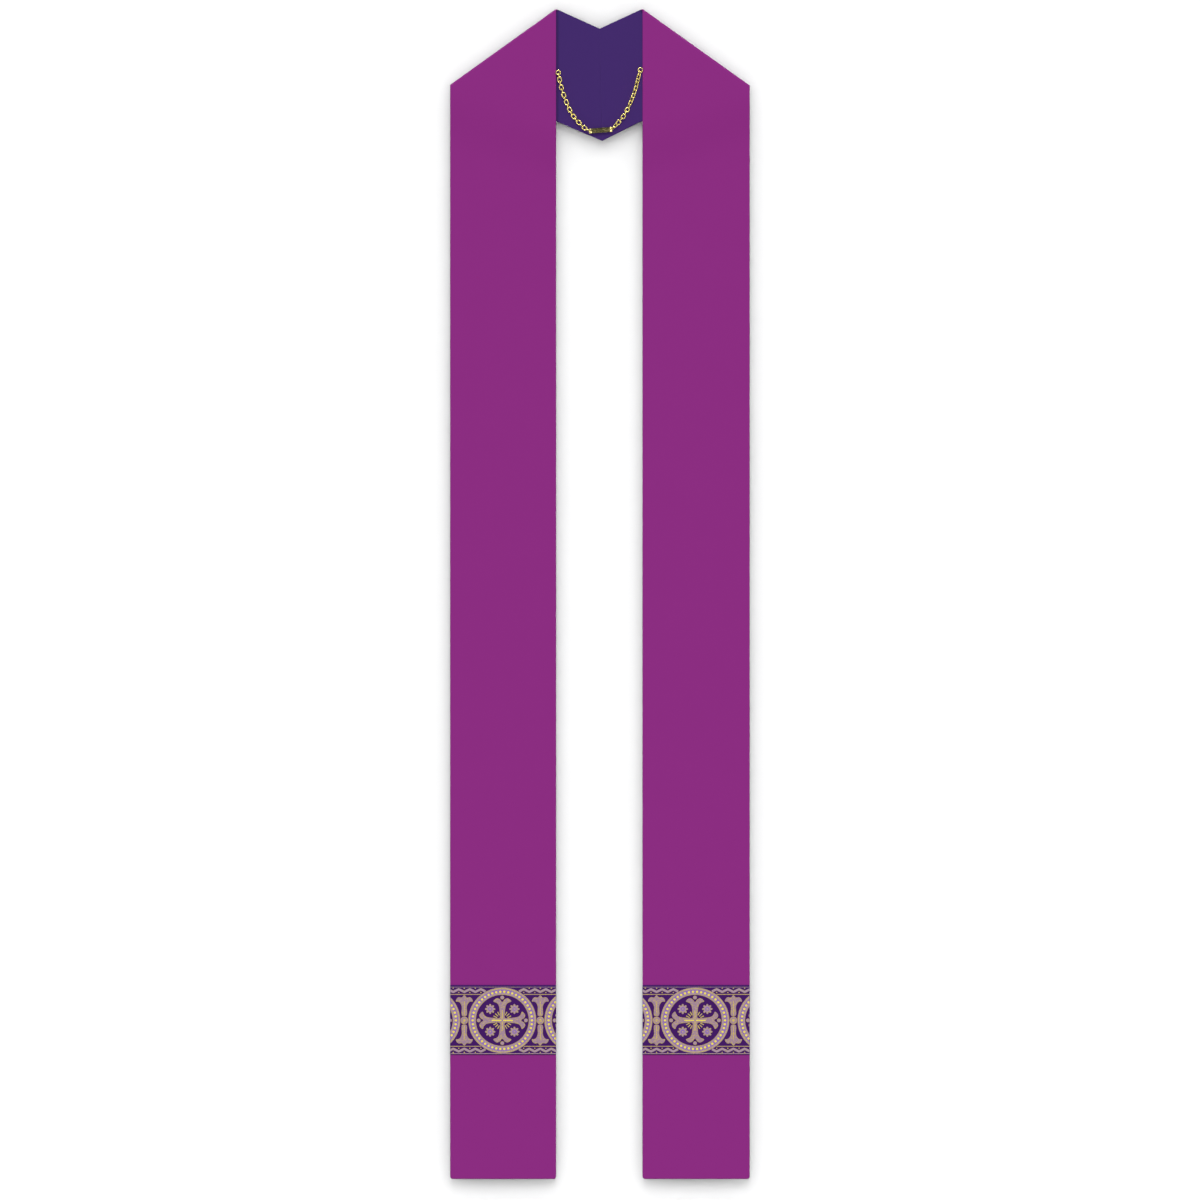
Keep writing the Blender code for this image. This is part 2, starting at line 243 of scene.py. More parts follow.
def shaded(colour: Colour, by: float) -> Colour:
    """The colour made lighter or darker by this factor."""
    return tuple(channel * by for channel in colour)


GROOVE_ROUGHNESS = 0.05  # more than on the yarn


def yarn_roughness(height: Signal, roughness: float, smoothing: float) -> Signal:
    """Roughness that is highest in the grooves, and falls by the smoothing on top of the yarns."""
    return height * -smoothing + (roughness + GROOVE_ROUGHNESS)


@dataclass(frozen=True)
class WovenCloth:
    """A plain woven cloth that follows its piece's straight grain.

    Attributes:
        name: Of the material.
        colour: Linear red, green and blue.
        pitch: Between two yarns, in metres.
        relief: Depth of the weave.
        contrast: How much darker the gaps between yarns are, as painted shade; the yarns' tops get painted
            light.
        mottling: Slow changes of the colour over the cloth.
        mottling_size: How large the patches of those changes are, in metres.
        roughness: Of the yarn.
        sheen: Of the fibres' down.
        specular: Level of the plain reflection.
    """

    # Painted shade in the gaps between yarns and painted light on the yarns' tops.
    DEEPEST, HIGHEST = 1.6, 0.4  # how far the gaps and the yarns part from the colour, in contrasts
    SLUB_SIZE = 3  # pitches
    SLUB_RELIEF = 0.3  # of the weave's
    SMOOTHING = 0.08
    SHEEN_ROUGHNESS = 0.4

    name: str
    colour: Colour
    pitch: float = 0.0005
    relief: float = 0.00004
    contrast: float = 0.1
    mottling: float = 0.02
    mottling_size: float = 0.03
    roughness: float = 0.7
    sheen: float = 0.02
    specular: float = 0.12

    @functools.cache
    def material(self) -> bpy.types.Material:
        """The cloth's material."""
        bench = Bench(self.name)
        place = bench.grain_place()
        across, along, _ = bench.axes(place)
        turn = math.pi / self.pitch
        warp, weft = (across * turn).sine(), (along * turn).sine()
        over = warp * weft * 0.5 + 0.5
        yarns = warp.absolute() * over + weft.absolute() * (1 - over)
        patches = bench.noise(place, self.mottling_size)
        slubs = bench.noise(place, self.pitch * self.SLUB_SIZE, 1)
        # The yarns' share of the tone is painted shade and light of the weave; the patches and slubs are the
        # cloth's own uneven tone.
        tone = yarns * self.contrast + (patches - 0.5) * self.mottling + (slubs - 0.5) * self.mottling
        factor = tone * (0.5 / (self.contrast + self.mottling)) + 0.5
        low = shaded(self.colour, 1 - self.DEEPEST * self.contrast - self.mottling)
        high = shaded(self.colour, 1 + self.HIGHEST * self.contrast + self.mottling)
        return bench.finish({
            "Base Color": bench.blend(factor, low, high),
            "Roughness": yarn_roughness(yarns, self.roughness, self.SMOOTHING),
            "Normal": bench.bump(yarns + slubs * self.SLUB_RELIEF, self.relief),
            "Specular IOR Level": self.specular,
            "Sheen Weight": self.sheen,
            "Sheen Roughness": self.SHEEN_ROUGHNESS,
        })


@dataclass(frozen=True)
class Thread:
    """Threads that cross a woven ornament, with picks of a second colour.

    Attributes:
        name: Of the material.
        colour: Of most threads, linear.
        picks: Of the rest.
        share: How much of the surface the picks take, from 0 to 1.
        pitch: Between two threads, in metres.
        relief: Depth of the ribs.
        roughness: Of the thread.
        metallic: Of the picks.
    """

    SLANT = 0.5  # of the ribs, across against along
    PICK_SIZE = 3.2  # pitches
    PICK_SPREAD, PICK_SOFT = 0.32, 0.05
    # Painted shade in the ribs' grooves and painted light on their ridges.
    GROOVE, RIDGE = 0.8, 1.1  # shades of the colour
    RIB_RELIEF, CROSSING_RELIEF = 0.7, 0.3  # shares of the relief
    SMOOTHING = 0.1
    SPECULAR, SHEEN = 0.25, 0.02

    name: str
    colour: Colour
    picks: Colour
    share: float = 0.25
    pitch: float = 0.00045
    relief: float = 0.00005
    roughness: float = 0.5
    metallic: float = 0.0

    @functools.cache
    def material(self) -> bpy.types.Material:
        """The threads' material."""
        bench = Bench(self.name)
        place = bench.object_place()
        across, along, _ = bench.axes(place)
        turn = math.pi / self.pitch
        ribs = (across * turn + along * (self.SLANT * turn)).sine().absolute()
        crossing = (along * turn).sine().absolute()
        speckle = bench.noise(place, self.pitch * self.PICK_SIZE, 1)
        picked = speckle.covering(self.share, self.PICK_SPREAD, self.PICK_SOFT)
        # The ribs get painted shade in their grooves and painted light on their ridges.
        plain = bench.blend(ribs, shaded(self.colour, self.GROOVE), shaded(self.colour, self.RIDGE))
        relief = ribs * self.RIB_RELIEF + crossing * self.CROSSING_RELIEF
        return bench.finish({
            "Base Color": bench.blend(picked, plain, self.picks),
            "Roughness": yarn_roughness(ribs, self.roughness, self.SMOOTHING),
            "Metallic": picked * self.metallic,
            "Normal": bench.bump(relief, self.relief),
            "Specular IOR Level": self.SPECULAR,
            "Sheen Weight": self.SHEEN,
        })


@dataclass(frozen=True)
class Metal:
    """Plated metal with a little tarnish.

    Attributes:
        name: Of the material.
        colour: Of the bright metal, linear.
        tarnish: Of its dull patches.
        dulled: How much of the surface is dull, from 0 to 1.
        roughness: Of the bright metal.
        metallic: 1 for bare metal.
        patch: Size of a dull patch, in metres.
    """

    DULL_SPREAD, DULL_SOFT = 0.4, 0.1
    SCRATCHES = 8  # across a patch
    DULL_ROUGHNESS, SCRATCH_ROUGHNESS = 0.2, 0.1  # more than the bright metal's
    SCRATCH_DEPTH = 0.00001

    name: str
    colour: Colour
    tarnish: Colour
    dulled: float
    roughness: float
    metallic: float = 1.0
    patch: float = 0.0016

    @functools.cache
    def material(self) -> bpy.types.Material:
        """The metal's material."""
        bench = Bench(self.name)
        place = bench.object_place()
        dull = bench.noise(place, self.patch, 3).covering(self.dulled, self.DULL_SPREAD, self.DULL_SOFT)
        scratches = bench.noise(place, self.patch / self.SCRATCHES, 2)
        roughness = dull * self.DULL_ROUGHNESS + scratches * self.SCRATCH_ROUGHNESS + self.roughness
        return bench.finish({
            "Base Color": bench.blend(dull, self.colour, self.tarnish),
            "Roughness": roughness,
            "Metallic": self.metallic,
            "Normal": bench.bump(scratches, self.SCRATCH_DEPTH),
        })


FACE_CLOTH = WovenCloth("face_cloth_wool", (0.229, 0.0172, 0.193))
LINING_CLOTH = WovenCloth(
    "lining_cloth_satin", (0.044, 0.0150, 0.128), pitch=0.0003, relief=0.00002, contrast=0.06, roughness=0.55
)
BAND_CLOTH = WovenCloth(
    "band_cloth_ground", (0.047, 0.0070, 0.108), pitch=0.0005, relief=0.00005, contrast=0.25, mottling=0.12,
    mottling_size=0.002, roughness=0.6, sheen=0.01, specular=0.06,
)
GOLD_METAL = Metal("gold_metal_plate", (0.93, 0.77, 0.25), (0.60, 0.465, 0.12), dulled=0.3, roughness=0.17)
PALE_METAL = Metal("gold_metal_ends", (0.84, 0.71, 0.30), (0.56, 0.46, 0.16), dulled=0.15, roughness=0.42)
# Painted shade for the inner side of the chain's wire, so that the links' holes look dark.
SHADE_PAINTED_METAL = Metal("gold_metal_painted_shade", (0.12, 0.09, 0.025), (0.07, 0.05, 0.015), dulled=0.4, roughness=0.4)
# A near-black metal for the bar's rim and the sides of its body.
WORN_METAL = Metal("gold_metal_darker_rim", (0.10, 0.082, 0.026), (0.05, 0.040, 0.014), dulled=0.5, roughness=0.3)
DARK_METAL = Metal(
    "gold_metal_darkened", (0.045, 0.038, 0.01), (0.145, 0.12, 0.04), dulled=0.4, roughness=0.42, metallic=0.6
)
SEWING_THREAD = Thread("sewing_thread_magenta", (0.2, 0.018, 0.17), (0.26, 0.03, 0.22), pitch=0.0002)
DARK_THREAD = Thread("sewing_thread_violet", (0.04, 0.012, 0.11), (0.06, 0.02, 0.15), pitch=0.0002)


class Yarn(Enum):
    """The yarns of the band's ornament."""

    TAN = Thread("ornament_yarn_tan", (0.39, 0.262, 0.150), (0.52, 0.38, 0.10), share=0.35)
    MAUVE = Thread("ornament_yarn_mauve", (0.315, 0.197, 0.285), (0.44, 0.315, 0.175), share=0.3)
    LILAC = Thread("ornament_yarn_lilac", (0.25, 0.132, 0.425), (0.31, 0.200, 0.32), share=0.3)
    ROSE = Thread("ornament_yarn_rose", (0.37, 0.245, 0.345), (0.34, 0.25, 0.19), share=0.2)
    OCHRE = Thread("ornament_yarn_ochre", (0.58, 0.44, 0.10), (0.40, 0.29, 0.17), share=0.35)
    GOLD = Thread("ornament_yarn_gold", (0.84, 0.70, 0.065), (0.86, 0.74, 0.14), share=0.3, metallic=0.2)


# ---------- modelling helpers


def ease(share: float) -> float:
    """A smooth step from 0 to 1."""
    share = min(max(share, 0.0), 1.0)
    return share * share * (3 - 2 * share)


def rounded(distance: float, radius: float) -> float:
    """The share of its thickness that a wall has this far in from a rounded edge."""
    if distance >= radius:
        return 1.0
    return math.sqrt(max(0.0, 1 - (1 - distance / radius) ** 2))


def spaced(length: float, edge: Sequence[float], count: int) -> list[float]:
    """Distances along a length: these ones in from both of its ends, and even steps between them.

    Args:
        length: The whole length.
        edge: Distances in from an end, in rising order.
        count: How many even steps lie between the two ends' own distances.

    Returns:
        The distances, from 0 to the length.
    """
    last = [length - distance for distance in reversed(edge)]
    step = (last[0] - edge[-1]) / count
    return [*edge, *(edge[-1] + step * i for i in range(1, count)), *last]


def polar(reach: float, angle: float) -> Vector:
    """The point this far from the origin, at this angle from +X."""
    return Vector((reach * math.cos(angle), reach * math.sin(angle)))


def curve_point(before: Vector, start: Vector, end: Vector, after: Vector, share: float) -> Vector:
    """The point at this share of the way from start to end, on the smooth curve through all four."""
    straight = 2 * start + (end - before) * share
    squared = (2 * before - 5 * start + 4 * end - after) * share**2
    cubed = (3 * start - before - 3 * end + after) * share**3
    return (straight + squared + cubed) / 2


def select_only(*pieces: Piece) -> None:
    """Selects these pieces alone, and makes the first one active."""
    bpy.ops.object.select_all(action="DESELECT")
    for piece in pieces:
        piece.select_set(True)
    bpy.context.view_layer.objects.active = pieces[0] if pieces else None


def linked(name: str, data: bpy.types.ID) -> Piece:
    """A new object in the scene for this mesh, curve, light or camera."""
    made = bpy.data.objects.new(name, data)
    bpy.context.scene.collection.objects.link(made)
    return made


def joined(name: str, pieces: Pieces) -> Piece:
    """The pieces as one object of this name, with its place in its mesh."""
    select_only(*pieces)
    if len(pieces) > 1:
        bpy.ops.object.join()
    bpy.ops.object.transform_apply(location=True, rotation=True, scale=True)
    made = bpy.context.view_layer.objects.active
    made.name = name
    made.data.name = name
    return made


def copied(piece: Piece, name: str, place: Matrix) -> Piece:
    """A copy of the piece with its own mesh, moved by this matrix."""
    mesh = piece.data.copy()
    mesh.transform(place)
    return linked(name, mesh)


@contextlib.contextmanager
def editing(piece: Piece) -> Iterator[None]:
    """Edit mode on this piece alone, with all its vertices selected."""
    select_only(piece)
    bpy.ops.object.mode_set(mode="EDIT")
    bpy.ops.mesh.select_mode(type="VERT")
    bpy.ops.mesh.select_all(action="SELECT")
    yield
    bpy.ops.object.mode_set(mode="OBJECT")


def draw_out(piece: Piece, axis: int, reach: float, signs: Iterable[int] = (-1, 1)) -> None:
    """Moves the halves of a piece outwards from the origin along an axis.

    Args:
        piece: Lies about the origin.
        axis: 0, 1 or 2.
        reach: How far each half moves.
        signs: Which halves.
    """
    for sign in signs:
        with editing(piece):
            shape = bmesh.from_edit_mesh(piece.data)
            for vert in shape.verts:
                vert.select = vert.co[axis] * sign > TINY
            shape.select_flush_mode()
            bmesh.update_edit_mesh(piece.data)
            bpy.ops.transform.translate(value=[sign * reach if i == axis else 0 for i in range(3)])


def wire_ring(radius: float, wire: float, steps: int, sides: int) -> Piece:
    """A ring of round wire, flat about the origin.

    Args:
        radius: To the middle of the wire.
        wire: Radius of the wire.
        steps: Round the ring.
        sides: Round the wire.
    """
    select_only()
    bpy.ops.mesh.primitive_torus_add(
        major_radius=radius, minor_radius=wire, major_segments=steps, minor_segments=sides
    )
    return bpy.context.object


def applied(piece: Piece, kind: str, **settings: object) -> None:
    """Adds a modifier with these settings and applies it."""
    modifier = piece.modifiers.new(kind.title(), kind)
    for name, value in settings.items():
        setattr(modifier, name, value)
    select_only(piece)
    bpy.ops.object.modifier_apply(modifier=modifier.name)


def dress(piece: Piece, slot: str, *materials: bpy.types.Material) -> None:
    """Gives the piece its materials."""
    for material in materials:
        piece.data.materials.append(material)


def report(piece: Piece) -> None:
    """Logs a finished piece."""
    piece.data.calc_loop_triangles()
    LOG.info("%s: %d triangles", piece.name, len(piece.data.loop_triangles))


class Knot(NamedTuple):
    """A point in a cloth wall.

    Attributes:
        middle: In the middle of the wall.
        normal: The direction that its face side looks in.
        half: Half its thickness there, 0 at an edge.
        grain: The point's place on the flat cut.
        margin: Whether the face cloth is turned under there.
    """

    middle: Vector
    normal: Vector
    half: float
    grain: Vector
    margin: bool = False


def cloth_wall(
    name: str, rows: list[list[Knot]], slot: str, face: WovenCloth, back: WovenCloth
) -> Piece:
    """A closed wall of cloth through a grid of knots.

    Args:
        name: Of the piece.
        rows: The knots. Those of the grid's outer edges have no thickness.
        slot: The record's material slot; not used.
        face: The finish of its face side and of its turned-in edges.
        back: The finish of its other side.
    """
    shape = bmesh.new()
    grain = shape.loops.layers.uv.new(GRAIN_MAP)
    sides: list[list[list[bmesh.types.BMVert]]] = [[], []]
    places: dict[bmesh.types.BMVert, Vector] = {}
    for row in rows:
        for side in sides:
            side.append([])
        for knot in row:
            offset = knot.normal * knot.half
            top = shape.verts.new(knot.middle + offset)
            bottom = top if knot.half < TINY else shape.verts.new(knot.middle - offset)
            sides[0][-1].append(top)
            sides[1][-1].append(bottom)
            places[top] = places[bottom] = knot.grain
    for index, side in enumerate(sides):
        for r in range(len(rows) - 1):
            for c in range(len(rows[r]) - 1):
                cell = ((r, c), (r, c + 1), (r + 1, c + 1), (r + 1, c))
                corners = list(dict.fromkeys(side[i][j] for i, j in cell))
                made = shape.faces.new(corners if index == 0 else corners[::-1])
                made.material_index = int(index == 1 and not all(rows[i][j].margin for i, j in cell))
                made.smooth = True
                for loop in made.loops:
                    loop[grain].uv = places[loop.vert]
    bmesh.ops.recalc_face_normals(shape, faces=shape.faces)
    mesh = bpy.data.meshes.new(name)
    shape.to_mesh(mesh)
    shape.free()
    piece = linked(name, mesh)
    dress(piece, slot, face.material(), back.material())
    applied(piece, "WEIGHTED_NORMAL", keep_sharp=True)
    return piece


# ---------- cloth


@dataclass(frozen=True)
class Side:
    """The outline of one strip and its half of the neck, seen from above.

    Attributes:
        name: left or right.
        sign: -1 at -X, 1 at +X.
        width: Of the strip.
        shoulder_drop: From the fold's inner end down to its outer end.
        neck_depth: Down from the top of the shoulder to the neck's lower edge, at the front's inner edge.
    """

    name: str
    sign: int
    width: float
    shoulder_drop: float
    neck_depth: float

    @property
    def outer_x(self) -> float:
        """The strip's outer edge."""
        return self.sign * WIDTH / 2

    @property
    def inner_x(self) -> float:
        """The strip's inner edge, along the neck opening."""
        return self.outer_x - self.sign * self.width

    @property
    def middle_x(self) -> float:
        """The middle of the strip."""
        return (self.outer_x + self.inner_x) / 2

    @property
    def fold_inner(self) -> Vector:
        """The inner end of the shoulder's fold, from above."""
        return Vector((self.inner_x, LENGTH / 2))

    @property
    def fold_outer(self) -> Vector:
        """The outer end of the shoulder's fold, from above."""
        return Vector((self.outer_x, LENGTH / 2 - self.shoulder_drop))

    @property
    def fold_outwards(self) -> Vector:
        """The direction across the fold, away from the cloth."""
        along = (self.fold_inner - self.fold_outer).normalized()
        return Vector((self.sign * along.y, abs(along.x)))

    @property
    def neck_edge(self) -> Vector:
        """Where the neck's lower edge comes out from under the front."""
        return Vector((self.inner_x, LENGTH / 2 - self.neck_depth))

    def inwards(self, point: Vector) -> float:
        """How far a point lies in from the middle of the fold's turn."""
        return (self.fold_inner - point).dot(self.fold_outwards) - FOLD_REACH

    def crossing(self, start: Vector, end: Vector) -> Vector:
        """Where the line from start to end meets the middle of the fold's turn, seen from above."""
        reached = -self.inwards(start)
        step = (end - start).dot(self.fold_outwards)
        return start - (end - start) * (reached / step)


LEFT = Side("left", -1, width=0.1193, shoulder_drop=0.0855, neck_depth=0.1264)
RIGHT = Side("right", 1, width=0.1207, shoulder_drop=0.0861, neck_depth=0.1259)


def plan_point(across: float, down: float) -> Vector:
    """The point this far across, and this far down from the top of the shoulders, seen from above."""
    return Vector((across, LENGTH / 2 - down))


@dataclass(frozen=True)
class StripCloth:
    """One strip of lined face cloth: the front, the shoulder's fold and half of the back of the neck."""

    side: Side
    edge_columns: tuple[float, ...] = (0.0, 0.00008, 0.00025, 0.0006, 0.001, 0.003, 0.0095, 0.0125)
    middle_columns: int = 8
    edge_round: float = 0.0006
    seam_round: float = 0.00008
    allowance: Pair = (0.0095, 0.0125)  # where the turned-in allowance ends under the cloth
    allowance_step: float = 0.00005
    margin: float = 0.003  # of face cloth that shows round the lining
    hem_corner: float = 0.003
    hem_rows: tuple[float, ...] = (0.0, 0.00008, 0.00025, 0.0006, 0.001, 0.0018, 0.003)
    plain_rows: int = 120
    slope_start: float = 0.005
    slope_run: float = 0.06
    slope_foot: float = 0.2
    fan_rows: int = 48
    fold_rows: int = 14
    neck_rows: int = 16
    seam_rows: tuple[float, ...] = (0.0006, 0.00008, 0.00003, 0.0)
    seam_gap: float = -0.00001  # the halves just overlap
    ripple: float = 0.00018
    ripple_lengths: Pair = (0.083, 0.187)
    ripple_slants: Pair = (0.6, 0.4)  # waves across the strip
    flat_ends: Pair = (0.24, 0.2)  # without ripples, at the hem and at the shoulder
    flat_run: float = 0.06
    cut_length: float = 1.385

    def columns(self) -> list[float]:
        """Distances of the columns from the outer edge."""
        return spaced(self.side.width, self.edge_columns, self.middle_columns)

    def across(self, outer: Vector, inner: Vector) -> Iterator[tuple[Vector, float]]:
        """Points between two ends of a row, each with its distance from the strip's nearer edge."""
        width = self.side.width
        for column in self.columns():
            yield outer.lerp(inner, column / width), min(column, width - column)

    def half(self, distance: float) -> float:
        """Half the wall's thickness this far in from the nearest edge."""
        inside = ease((distance - self.allowance[0]) / (self.allowance[1] - self.allowance[0]))
        return STRIP_WALL / 2 * rounded(distance, self.edge_round) - self.allowance_step * inside

    def height(self, point: Vector) -> float:
        """The height of the middle of the front's wall, which is raised where it lies over the neck."""
        side = self.side
        edge = (side.neck_edge - side.fold_outer).normalized()
        away = point - side.fold_outer
        above = side.sign * (away.x * edge.y - away.y * edge.x)
        raised = ease((above + self.slope_start + self.slope_run) / self.slope_run)
        return NECK_MIDDLE + (RAISED_MIDDLE - NECK_MIDDLE) * raised + self.lift(point) * (1 - raised)

    def lift(self, point: Vector) -> float:
        """How far the cloth stands off the surface in its long ripples, away from its hem and band."""
        across = (point.x - self.side.middle_x) / self.side.width
        along = point.y + LENGTH / 2
        short, long = self.ripple_lengths
        wave = math.sin(math.tau * (along / short + self.ripple_slants[0] * self.side.sign * across))
        swell = math.sin(math.tau * (along / long + self.ripple_slants[1] * across) + self.side.sign)
        from_ends = (along - self.flat_ends[0], LENGTH - self.flat_ends[1] - along)
        free = math.prod(ease(distance / self.flat_run) for distance in from_ends)
        return self.ripple * free * (2 + wave + swell) / 4

    def level(self, y: float, inset: float = 0.0) -> tuple[Vector, Vector]:
        """The outer and inner ends of a level row of the front, this far in from the strip's edges."""
        side = self.side
        return Vector((side.outer_x - side.sign * inset, y)), Vector((side.inner_x + side.sign * inset, y))

    def front_row(self, outer: Vector, inner: Vector, from_hem: float) -> list[Knot]:
        """Knots across the front, between two points on its edges.

        Args:
            outer: The row's outer end, from above.
            inner: Its inner end.
            from_hem: How far the row lies from the hem.
        """
        knots = []
        hem = self.hem_corner
        for column in self.columns():
            share = column / self.side.width
            point = outer.lerp(inner, share)
            edge = min(abs(point.x - self.side.outer_x), abs(point.x - self.side.inner_x))
            distance = min(edge, from_hem)
            if edge < hem and from_hem < hem:
                distance = hem - math.hypot(hem - edge, hem - from_hem)
            distance = 0.0 if share in (0.0, 1.0) else max(distance, 0.0)
            middle = point.to_3d() + UP * self.height(point)
            knots.append(Knot(middle, UP, self.half(distance), point, distance <= self.margin + TINY))
        return knots

    def front(self) -> list[list[Knot]]:
        """Knots of the whole front, from the hem to the start of the fold."""
        hem_y, foot_y = -LENGTH / 2, LENGTH / 2 - self.slope_foot
        rows = []
        for rise in self.hem_rows:
            inset = self.hem_corner - math.sqrt(self.hem_corner**2 - (self.hem_corner - rise) ** 2)
            rows.append(self.front_row(*self.level(hem_y + rise, inset), rise))
        start_y = hem_y + self.hem_rows[-1]
        for step in range(1, self.plain_rows + 1):
            y = start_y + (foot_y - start_y) * step / self.plain_rows
            rows.append(self.front_row(*self.level(y), y - hem_y))
        for step in range(1, self.fan_rows + 1):
            ends = zip(self.level(foot_y), self.front_ends())
            rows.append(self.front_row(*(foot.lerp(end, step / self.fan_rows) for foot, end in ends), LENGTH))
        return rows

    def front_ends(self) -> tuple[Vector, Vector]:
        """Both ends of the front's last row, at the fold."""
        outer_foot, inner_foot = self.level(LENGTH / 2 - self.slope_foot)
        side = self.side
        return side.crossing(side.fold_outer, outer_foot), side.crossing(side.fold_inner, inner_foot)

    def neck_ends(self, share: float) -> tuple[Vector, Vector]:
        """Both ends of a line across the neck piece, seen from above.

        Args:
            share: 0 at the fold, 1 at the seam in the middle of the back.

        Returns:
            The points on its lower and on its upper edge.
        """
        side = self.side
        seam_gap = Vector((side.sign * self.seam_gap, 0))
        tip, top = plan_point(*SEAM_TIP) + seam_gap, plan_point(*SEAM_TOP) + seam_gap
        lower_start = side.crossing(side.fold_outer, side.neck_edge)
        upper_start = side.crossing(side.fold_inner, top)
        hidden, shown = (side.neck_edge - lower_start).length, (tip - side.neck_edge).length
        bend = hidden / (hidden + shown)
        if share <= bend:
            lower = lower_start.lerp(side.neck_edge, share / bend)
        else:
            lower = side.neck_edge.lerp(tip, (share - bend) / (1 - bend))
        return lower, upper_start.lerp(top, share)

    def neck_shares(self) -> list[tuple[float, float]]:
        """Shares of the way from the fold to the seam, each with its distance from the seam."""
        starts, ends = self.neck_ends(0), self.neck_ends(1)
        length = sum((end - start).length for start, end in zip(starts, ends)) / 2
        last = 1 - self.seam_rows[0] / length
        shares = [last * step / self.neck_rows for step in range(self.neck_rows)]
        return [(share, length) for share in shares] + [(1 - away / length, away) for away in self.seam_rows]

    def unfolded(self, point: Vector) -> Vector:
        """The place on the flat cut of a point of the neck."""
        beyond = 2 * self.side.inwards(point) + math.pi * FOLD_RADIUS
        return point + self.side.fold_outwards * beyond

    def fold(self) -> list[list[Knot]]:
        """Knots round the shoulder's fold, between the front and the neck, without either's own row."""
        outwards = self.side.fold_outwards
        ends = list(zip(self.front_ends(), self.neck_ends(0)))
        rows = []
        for step in range(1, self.fold_rows):
            turn = math.pi * step / self.fold_rows
            normal = outwards.to_3d() * math.sin(turn) + UP * math.cos(turn)
            outer, inner = (front.lerp(neck, step / self.fold_rows) for front, neck in ends)
            row = []
            for point, edge in self.across(outer, inner):
                middle = point.to_3d() + UP * FOLD_MIDDLE + normal * FOLD_RADIUS
                grain = point + outwards * FOLD_RADIUS * turn
                row.append(Knot(middle, normal, self.half(edge), grain, edge <= self.margin))
            rows.append(row)
        return rows

    def neck(self, middle: float, half: float, face: Vector) -> list[list[Knot]]:
        """Knots of a wall on the back of the neck, from the fold to the seam.

        Args:
            middle: Height of the middle of the wall.
            half: Half its thickness away from the edges.
            face: The direction that its face side looks in.

        Returns:
            The knots. Each row runs from the lower edge to the upper one.
        """
        rows = []
        for share, from_seam in self.neck_shares():
            seam = rounded(from_seam, self.seam_round)
            row = []
            for point, edge in self.across(*self.neck_ends(share)):
                thickness = half * rounded(edge, self.edge_round) * seam
                row.append(Knot(point.to_3d() + UP * middle, face, thickness, self.unfolded(point), True))
            rows.append(row)
        return rows

    def build(self) -> Piece:
        """Models the strip in place of its solid."""
        rows = self.front() + self.fold() + self.neck(NECK_MIDDLE, STRIP_WALL / 2, -UP)
        piece = cloth_wall(f"{self.side.name}_strip_cloth", rows, "face_cloth", FACE_CLOTH, LINING_CLOTH)
        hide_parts(f"{self.side.name}_strip")
        return piece


@dataclass(frozen=True)
class NeckLining:
    """The lining that shows at the back of the neck, one half a side."""

    strip: StripCloth
    bottom: float = 0.00123
    top: float = 0.0027
    width: float = 0.119
    length: float = 0.108

    def build(self) -> Piece:
        """Models the lining in place of its solid."""
        rows = self.strip.neck((self.bottom + self.top) / 2, (self.top - self.bottom) / 2, UP)
        rows[0] = [knot._replace(half=0.0) for knot in rows[0]]
        name = self.strip.side.name
        piece = cloth_wall(f"{name}_neck_lining", rows, "lining_cloth", LINING_CLOTH, LINING_CLOTH)
        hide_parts(f"{name}_lining")
        return piece


# ---------- ornamental bands

LEVEL = 0.00002  # between two heights of the ornament
OUTLINE_INSET = 0.0005  # of a filling from its rim


def turned(outline: Iterable[Vector], angle: float) -> Outline:
    """The outline turned about the origin."""
    turn = Matrix.Rotation(angle, 2)
    return [turn @ point for point in outline]


def wreath(outline: Outline, count: int) -> list[Outline]:
    """This many copies of an outline, turned about the origin in even steps."""
    return [turned(outline, math.tau * i / count) for i in range(count)]


def moved(outline: Iterable[Vector], across: float, along: float) -> Outline:
    """The outline moved."""
    return [point + Vector((across, along)) for point in outline]


def mirrored(half: Sequence[Point]) -> Outline:
    """The whole outline of a shape whose half above the X axis ends on the axis."""
    upper = [Vector(point) for point in half]
    return [*upper, *(Vector((point.x, -point.y)) for point in reversed(upper[:-1]))]


def circle(radius: float, sides: int) -> Outline:
    """A circle about the origin."""
    return [polar(radius, math.tau * i / sides) for i in range(sides)]


def petalled(outer: float, inner: float, petals: int, steps: int = 6) -> Outline:
    """A rosette's outline with round petals of so many steps each, between two radii."""
    outline = []
    for i in range(petals * steps):
        reach = inner + (outer - inner) * abs(math.cos(math.pi * i / steps))
        outline.append(polar(reach, math.tau * i / (petals * steps)))
    return outline


def stroke(line: Sequence[Vector], width: float) -> Outline:
    """The outline of a stroke this wide along a line."""
    left, right = [], []
    for i, point in enumerate(line):
        along = (line[min(i + 1, len(line) - 1)] - line[max(i - 1, 0)]).normalized()
        across = Vector((-along.y, along.x)) * width / 2
        left.append(point + across)
        right.append(point - across)
    return [*left, *reversed(right)]


def level_stroke(reach: float, height: float, width: float) -> Outline:
    """The outline of a level stroke at this height, which reaches this far to each side."""
    return stroke([Vector((-reach, height)), Vector((reach, height))], width)


def smooth(points: Sequence[Vector], steps: int = 3) -> Outline:
    """A closed smooth line through the points, with so many steps between two of them."""
    made = []
    for i in range(len(points)):
        near = [points[(i + k) % len(points)] for k in (-1, 0, 1, 2)]
        made += [curve_point(*near, step / steps) for step in range(steps)]
    return made


